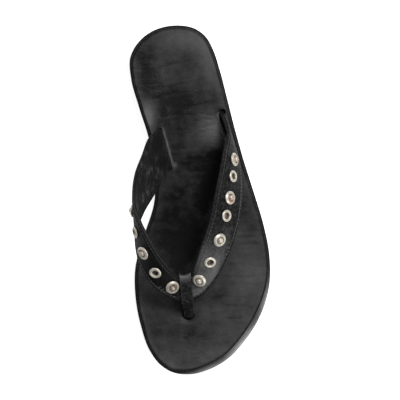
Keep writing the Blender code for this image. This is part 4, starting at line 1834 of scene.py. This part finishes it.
    def face(self, away: Array) -> Array:
        """Height of the outer face: rounded edge, sewn groove and the puffed leather beside it.

        Args:
            away: Distance from the nearer edge.

        Returns:
            Heights.
        """
        drop = np.maximum(0.0, self.edge_round - away)
        edge = np.sqrt(np.maximum(0.0, self.edge_round ** 2 - drop ** 2)) - self.edge_round
        groove = bell(away, self.seam_inset, self.seam_width)
        puff = bell(away, self.seam_inset + self.puff_from_seam, self.puff_width)
        rib = bell(away, 0.5 * self.seam_inset, self.rib_width)
        return edge - self.seam_depth * groove + self.puff * (puff + self.rib_share * rib)

    def upper_wear(self, away: Array) -> Array:
        """Wear along the upper edge, less toward the rear of the outer arm."""
        return self.rear_wear + (1.0 - self.rear_wear) * ease(*self.rear_from, away)

    def build_leather(self) -> Mesh:
        """Mesh of the outer leather.

        Returns:
            Closed mesh with holes for the eyelets.
        """
        s = self.stations()
        width = self.strap.width(s)
        t, away = self.section(width)
        run = np.broadcast_to(self.strap.distance(s), t.shape)
        lift = self.face(away) + creased(self.creases, run, t * width) * ease(0.0, self.crease_from, away)
        outer = self.strap.point(np.broadcast_to(s, t.shape), t, lift)
        back = np.linspace(1.0, 0.0, self.back_columns)[None, :] * np.ones_like(s)
        inner = self.strap.point(np.broadcast_to(s, back.shape), back, -self.leather)
        upper = t < 0.5
        edge = np.exp(-away / self.edge_fade) * np.where(upper, self.upper_wear(run), self.lower_edge)
        # Tone spots: painted highlights and painted shade along the arms, with some wear.
        rub = self.rub_base + swollen(self.rubs, run, t * width)
        rub = rub * np.where(upper, 1.0, ease(*self.lower_margin, away))
        rub = rub * (1.0 - self.seam_shade * bell(away, self.seam_inset, self.seam_width))
        shell = Shell()
        faces = [shell.put(outer, edge=edge, rub=rub), shell.put(inner, edge=np.array(self.back_edge))]
        shell.tube(np.hstack(faces))
        return cut_out(shell.mesh("strap_leather"), self.fittings.pockets())

    def lining_folds(self) -> list[Crease]:
        """Small creases scattered over the lining.

        Returns:
            Creases by distance from the post and from the upper edge.
        """
        draw = np.random.default_rng(self.fold_seed)
        folds = []
        for k in range(self.lining_creases):
            share = (k + draw.uniform(*self.fold_place)) / self.lining_creases
            at = self.fold_reach * (2.0 * share - 1.0)
            start = draw.uniform(*self.fold_start)
            end = (at + draw.uniform(*self.fold_drift), start + draw.uniform(*self.fold_length))
            form = [draw.uniform(*limits) for limits in (self.fold_bow, self.fold_depth, self.fold_width)]
            folds.append(Crease((at, start), end, *form))
        return folds

    def build_lining(self) -> Mesh:
        """Mesh of the lining, creased across where the strap bends.

        Returns:
            Closed mesh.
        """
        s = self.stations()
        width = self.strap.width(s)
        inset = self.lining_inset / width
        ends = np.array(self.lining_ends)
        middle = np.linspace(*self.lining_middle, self.lining_columns)
        share = np.concatenate([ends, middle, 1.0 - ends[::-1]])[None, :]
        t = inset + (1.0 - 2.0 * inset) * share
        away = np.minimum(share, 1.0 - share) * width
        run = np.broadcast_to(self.strap.distance(s), t.shape)
        sunk = creased(self.lining_folds(), run, t * width) * ease(0.0, self.fold_from, away)
        rounded = self.lining_round[0] * np.exp(-away / self.lining_round[1])
        inner = self.strap.point(np.broadcast_to(s, t.shape), t, -self.strap.thick - sunk + rounded)
        undyed = np.array([0.0, 1.0, 1.0, 1.0, 0.0])
        back = inset + (1.0 - 2.0 * inset) * np.linspace(1.0, 0.0, len(undyed))[None, :]
        outer = self.strap.point(np.broadcast_to(s, back.shape), back, -self.leather)
        rub = self.lining_base + swollen(self.lining_rubs, run, t * width)
        shell = Shell()
        faces = [shell.put(inner, raw=np.array(0.0), rub=rub),
                 shell.put(outer, raw=undyed, rub=np.array(self.lining_back))]
        shell.tube(np.hstack(faces))
        return shell.mesh("strap_lining")

    def build_stitching(self) -> Mesh:
        """Mesh of the stitches in both seams.

        Returns:
            Mesh of many short threads.
        """
        shell = Shell()
        fine = np.linspace(1.0, self.strap.last - 1.0, self.seam_points)
        width = self.strap.width(fine)
        away = self.strap.distance(fine)
        share = self.seam_inset / width
        outer_wear = (self.upper_wear(away), np.ones_like(away))
        for t, wear, inner_wear in zip((share, 1.0 - share), outer_wear, self.inner_arm_wear):
            line = self.strap.point(fine, t, -self.thread_sink)
            worn = np.where(away > 0.0, inner_wear, wear)
            self.sew(shell, line, self.strap.normal(fine, t), np.abs(away) > self.post_cover, worn)
        return shell.mesh("strap_stitching")

    def sew(self, shell: Shell, line: Array, out: Array, open_run: Array, worn: Array) -> None:
        """Add a row of stitches along a line.

        Args:
            shell: Shell to add to.
            line: Fine points of the line.
            out: Direction out of the face at each point.
            open_run: Whether the line shows at each point.
            worn: How far the thread is worn at each point.
        """
        gone = gone_along(line)
        turn = full_turn(self.thread_sides)
        along = np.array([0.06, 0.14, 0.3, 0.5, 0.7, 0.86, 0.94])
        sag = np.array([-0.55, -0.15, 0.05, 0.1, 0.05, -0.15, -0.55]) * self.thread * self.thread_arch
        girth = np.array([0.55, 0.9, 1.0, 1.0, 1.0, 0.9, 0.55]) * self.thread
        for k in range(int(gone[-1] / self.pitch)):
            at = (k + along) * self.pitch
            nearest = np.searchsorted(gone, at[3])
            if not open_run[nearest]:
                continue
            spot = np.stack([np.interp(at, gone, line[:, c]) for c in range(3)], axis=1)
            up = out[nearest]
            ahead = spot[-1] - spot[0]
            side = np.cross(up, ahead / np.linalg.norm(ahead))
            middle = spot + up * sag[:, None]
            ring = np.cos(turn)[None, :, None] * side + np.sin(turn)[None, :, None] * up
            shell.tube(shell.put(middle[:, None, :] + ring * girth[:, None, None], rub=worn[nearest]))

    def dress(self) -> None:
        """Put the strap's pieces on the sandal."""
        layers = (
            ("strap_leather", self.build_leather, StrapLeather()),
            ("strap_lining", self.build_lining, LiningSuede()),
            ("strap_stitching", self.build_stitching, WaxedThread()),
        )
        for name, build, finish in layers:
            fit_piece(name, build(), finish.material(), "strap_upper")


@dataclass
class ToePost:
    """Leather loop folded over the point of the strap, with its tail sunk into the footbed."""

    sole: SoleShape
    strap: StrapShape
    x: float = -12.7
    width: float = 8.6
    leather: float = 1.5
    clearance: float = 0.35
    hole_y: float = -85.0
    tail_thick: float = 4.2
    tail_end: float = 2.8
    side_round: float = 0.6
    stations: int = 28
    fold_steps: int = 8
    taper: float = 0.22
    crown: float = 0.5
    fold_point: float = 9.6
    # Painted highlight along the fold over the strap's back edge, and along the post's side edge toward the
    # inner side.
    fold_width: float = 0.9
    fold_rub: float = 1.0
    side_rub: float = 0.3
    lit_side: Pair = (-0.75, -1.0)
    rub_base: float = 0.065
    side_edge: float = 0.6
    corner: Pair = (0.72, 0.75)
    neck: float = 0.45
    front_bend: Triple = (0.0, 0.5, -0.3)
    back_bend: Triple = (0.0, -0.7, 0.9)
    tail_oval: float = 0.8
    tail_points: tuple[Pair, Pair] = ((3.4, 1.6), (15.4, 17.2))
    crown_points: tuple[Pair, Pair] = ((3.4, 5.0), (11.0, 9.4))
    search_rows: float = 2.5
    search_steps: int = 400
    room_rows: float = 2.2
    room_steps: int = 44

    def row_at_x(self, x: float, t: float) -> float:
        """Row number where a line along the strap crosses a width of the foot, near the post.

        Args:
            x: Place across the foot.
            t: Share across the strap.

        Returns:
            Row number.
        """
        post = self.strap.post_at
        s = np.linspace(post + self.search_rows, post - self.search_rows, self.search_steps)
        return float(np.interp(x, self.strap.flat(s, np.full(len(s), t))[:, 0], s))

    def outline(self, x: float, shrink: float, slim: float) -> Array:
        """Side outline at one width: over the strap, round its back edge, under it and down to the hole.

        Args:
            x: Place across the foot.
            shrink: How far the loop is drawn in.
            slim: How far the tail is drawn in.

        Returns:
            Points of the closed outline.
        """
        strap = self.strap
        wrap = self.clearance + self.leather - shrink
        rise = self.corner[0] * wrap
        reach = self.corner[1]
        core = -0.5 * strap.thick
        shares = np.array([1.0, 0.75, 0.5, 0.25, 0.0])
        rows = np.array([self.row_at_x(x, t) for t in shares])
        top = strap.point(rows, shares, wrap)
        under = strap.point(rows, shares, -strap.thick - wrap)
        across = strap.lower.at(rows) - strap.upper.at(rows)
        across /= np.linalg.norm(across, axis=-1, keepdims=True)
        zero = np.zeros(3)
        fold = strap.point(rows[-1] + zero, zero, np.array([rise, core, -strap.thick - rise]))
        fold = fold - across[-1] * (wrap * np.array([reach, 1.0, reach]))[:, None]
        nose = strap.point(rows[0] + zero[:2], 1.0 + zero[:2], np.array([core, rise]))
        nose = nose + across[0] * (wrap * np.array([1.0, reach]))[:, None]
        half = 0.5 * self.tail_thick - slim
        level = float(self.sole.insole_top(self.hole_y))
        front = np.array([[x, self.hole_y - half, level - self.tail_end], [x, self.hole_y - half, level]])
        back = np.array([[x, self.hole_y + half, level], [x, self.hole_y + half, level - self.tail_end]])
        mid_front = nose[0] * self.neck + front[1] * (1.0 - self.neck) + np.array(self.front_bend)
        mid_back = under[1] * self.neck + back[0] * (1.0 - self.neck) + np.array(self.back_bend)
        line = np.vstack([front, mid_front, nose, top, fold, under[::-1][:4], mid_back, back])
        line[:, 0] = x
        return line

    def build(self) -> Mesh:
        """Mesh of the toe post.

        Returns:
            Closed mesh with room for the strap.
        """
        shell = Shell()
        half = 0.5 * self.width
        turn = np.linspace(-0.5 * math.pi, 0.5 * math.pi, self.stations + 1)
        lines = []
        marks = []
        rubs = []
        for q in np.sin(turn):
            past = max(0.0, abs(q) * half - (half - self.side_round)) / self.side_round
            shrink = self.side_round * (1.0 - math.sqrt(max(0.0, 1.0 - past * past)))
            slim = 0.5 * self.tail_thick * (1.0 - math.sqrt(1.0 - self.tail_oval * q * q))
            line = Curve(self.outline(self.x + half * q, shrink, slim), closed=True).spread(self.fold_steps)
            at = np.arange(len(line)) / self.fold_steps
            tail = np.maximum(*(ease(*ends, at) for ends in self.tail_points))
            line[:, 0] = self.x + (line[:, 0] - self.x) * (1.0 - self.taper * tail)
            on_top = math.prod(ease(*ends, at) for ends in self.crown_points)
            line[:, 2] += self.crown * (1.0 - q * q) * on_top
            lines.append(line)
            marks.append(np.full(len(line), past))
            # Tone: painted highlight along the fold and on the inner side edge, over a low base.
            fold = self.fold_rub * bell(at, self.fold_point, self.fold_width)
            rubs.append(self.rub_base + fold + self.side_rub * ease(*self.lit_side, np.full(len(line), q)))
        edge = self.side_edge * np.stack(marks)
        shell.tube(shell.put(np.stack(lines), edge=edge, rub=np.stack(rubs)))
        room = Shell()
        post = self.strap.post_at
        ends = (post - self.room_rows, post + self.room_rows)
        gap = self.clearance
        self.strap.band(room, *ends, self.room_steps, gap, self.strap.thick + 2.0 * gap, gap)
        return cut_out(shell.mesh("toe_post_loop"), room.mesh("post_room"))

    def dress(self) -> None:
        """Put the toe post on the sandal."""
        finish = StrapLeather(name="post_leather")
        fit_piece("toe_post_loop", self.build(), finish.material(), "toe_post")


class Lamp(NamedTuple):
    """Soft box of the studio: place, size and power."""

    name: str
    place: Triple
    size: float
    watts: float


@dataclass
class Studio:
    """Pale floor, soft light and a camera straight above the sandal."""

    sole: SoleShape
    roll: float = -5.445
    camera_height: float = 3.0
    sensor: float = 36.0
    fill: float = 0.87
    floor_size: float = 16.0
    floor_lines: int = 9
    sky: float = 0.03
    backdrop: float = 0.95
    lamps: tuple[Lamp, ...] = (
        Lamp("key", (0.82, 0.83, 1.87), 0.8, 36.0),
        Lamp("heel", (-0.1, 1.25, 1.8), 1.2, 4.0),
        Lamp("front", (1.16, -1.38, 1.26), 1.4, 24.0),
        Lamp("low_fill", (-1.45, 1.25, 0.6), 1.0, 9.0),
        Lamp("far_fill", (-1.5, 0.2, 1.5), 1.2, 2.6),
    )

    def floor(self) -> None:
        """Lay the floor."""
        shell = Shell()
        half = 0.5 * self.floor_size / MM
        steps = np.linspace(-half, half, self.floor_lines)
        x, y = np.meshgrid(steps, steps)
        shell.skin(shell.put(np.stack([x, y, np.zeros_like(x)], axis=-1)))
        mesh = shell.mesh("studio_floor")
        mesh.materials.append(PaleFloor().material())
        made = bpy.data.objects.new("studio_floor", mesh)
        bpy.context.scene.collection.objects.link(made)

    def light(self) -> None:
        """Hang the soft boxes and set the sky."""
        scene = bpy.context.scene
        for lamp in self.lamps:
            data = bpy.data.lights.new(lamp.name, "AREA")
            data.shape = "DISK"
            data.size = lamp.size
            data.energy = lamp.watts
            made = bpy.data.objects.new(lamp.name, data)
            made.location = lamp.place
            made.rotation_euler = (-Vector(lamp.place)).to_track_quat("-Z", "Y").to_euler()
            scene.collection.objects.link(made)
        sky = bpy.data.worlds.new("studio_sky")
        sky.use_nodes = True
        board = Board(sky.node_tree)
        seen = board.node("LightPath").outputs["Is Camera Ray"]
        back = sky.node_tree.nodes["Background"].inputs
        back["Color"].default_value = (1.0, 1.0, 1.0, 1.0)
        board.feed(back["Strength"], board.span(seen, 0.0, 1.0, self.sky, self.backdrop))
        scene.world = sky
        scene.view_settings.view_transform = "Standard"

    def camera(self) -> None:
        """Set the camera above the sandal, rolled as the picture is."""
        turn = math.radians(self.roll)
        spin = np.array([[math.cos(turn), math.sin(turn)], [-math.sin(turn), math.cos(turn)]])
        seen = self.sole.loop @ spin.T
        low, high = seen.min(axis=0), seen.max(axis=0)
        centre = spin.T @ (0.5 * (low + high)) * MM
        view = float((high - low).max()) * MM / self.fill
        data = bpy.data.cameras.new("camera")
        data.sensor_width = self.sensor
        data.lens = self.sensor * self.camera_height / view
        made = bpy.data.objects.new("camera", data)
        made.location = (float(centre[0]), float(centre[1]), self.camera_height)
        made.rotation_euler = (0.0, 0.0, turn)
        bpy.context.scene.collection.objects.link(made)
        bpy.context.scene.camera = made

    def set_up(self) -> None:
        """Set up the whole studio."""
        self.floor()
        self.light()
        self.camera()
        log.info("studio set up with %d soft boxes", len(self.lamps))


def main() -> None:
    """Build and dress the sandal, then set up the studio."""
    logging.basicConfig(level=logging.INFO, format="%(name)s: %(message)s")
    sole = SoleShape()
    strap = StrapShape()
    fittings = Fittings(strap)
    Outsole(sole).dress()
    Footbed(sole, strap).dress()
    StrapUpper(strap, fittings).dress()
    ToePost(sole, strap).dress()
    fittings.dress()
    Studio(sole).set_up()


if __name__ == "__main__":
    main()
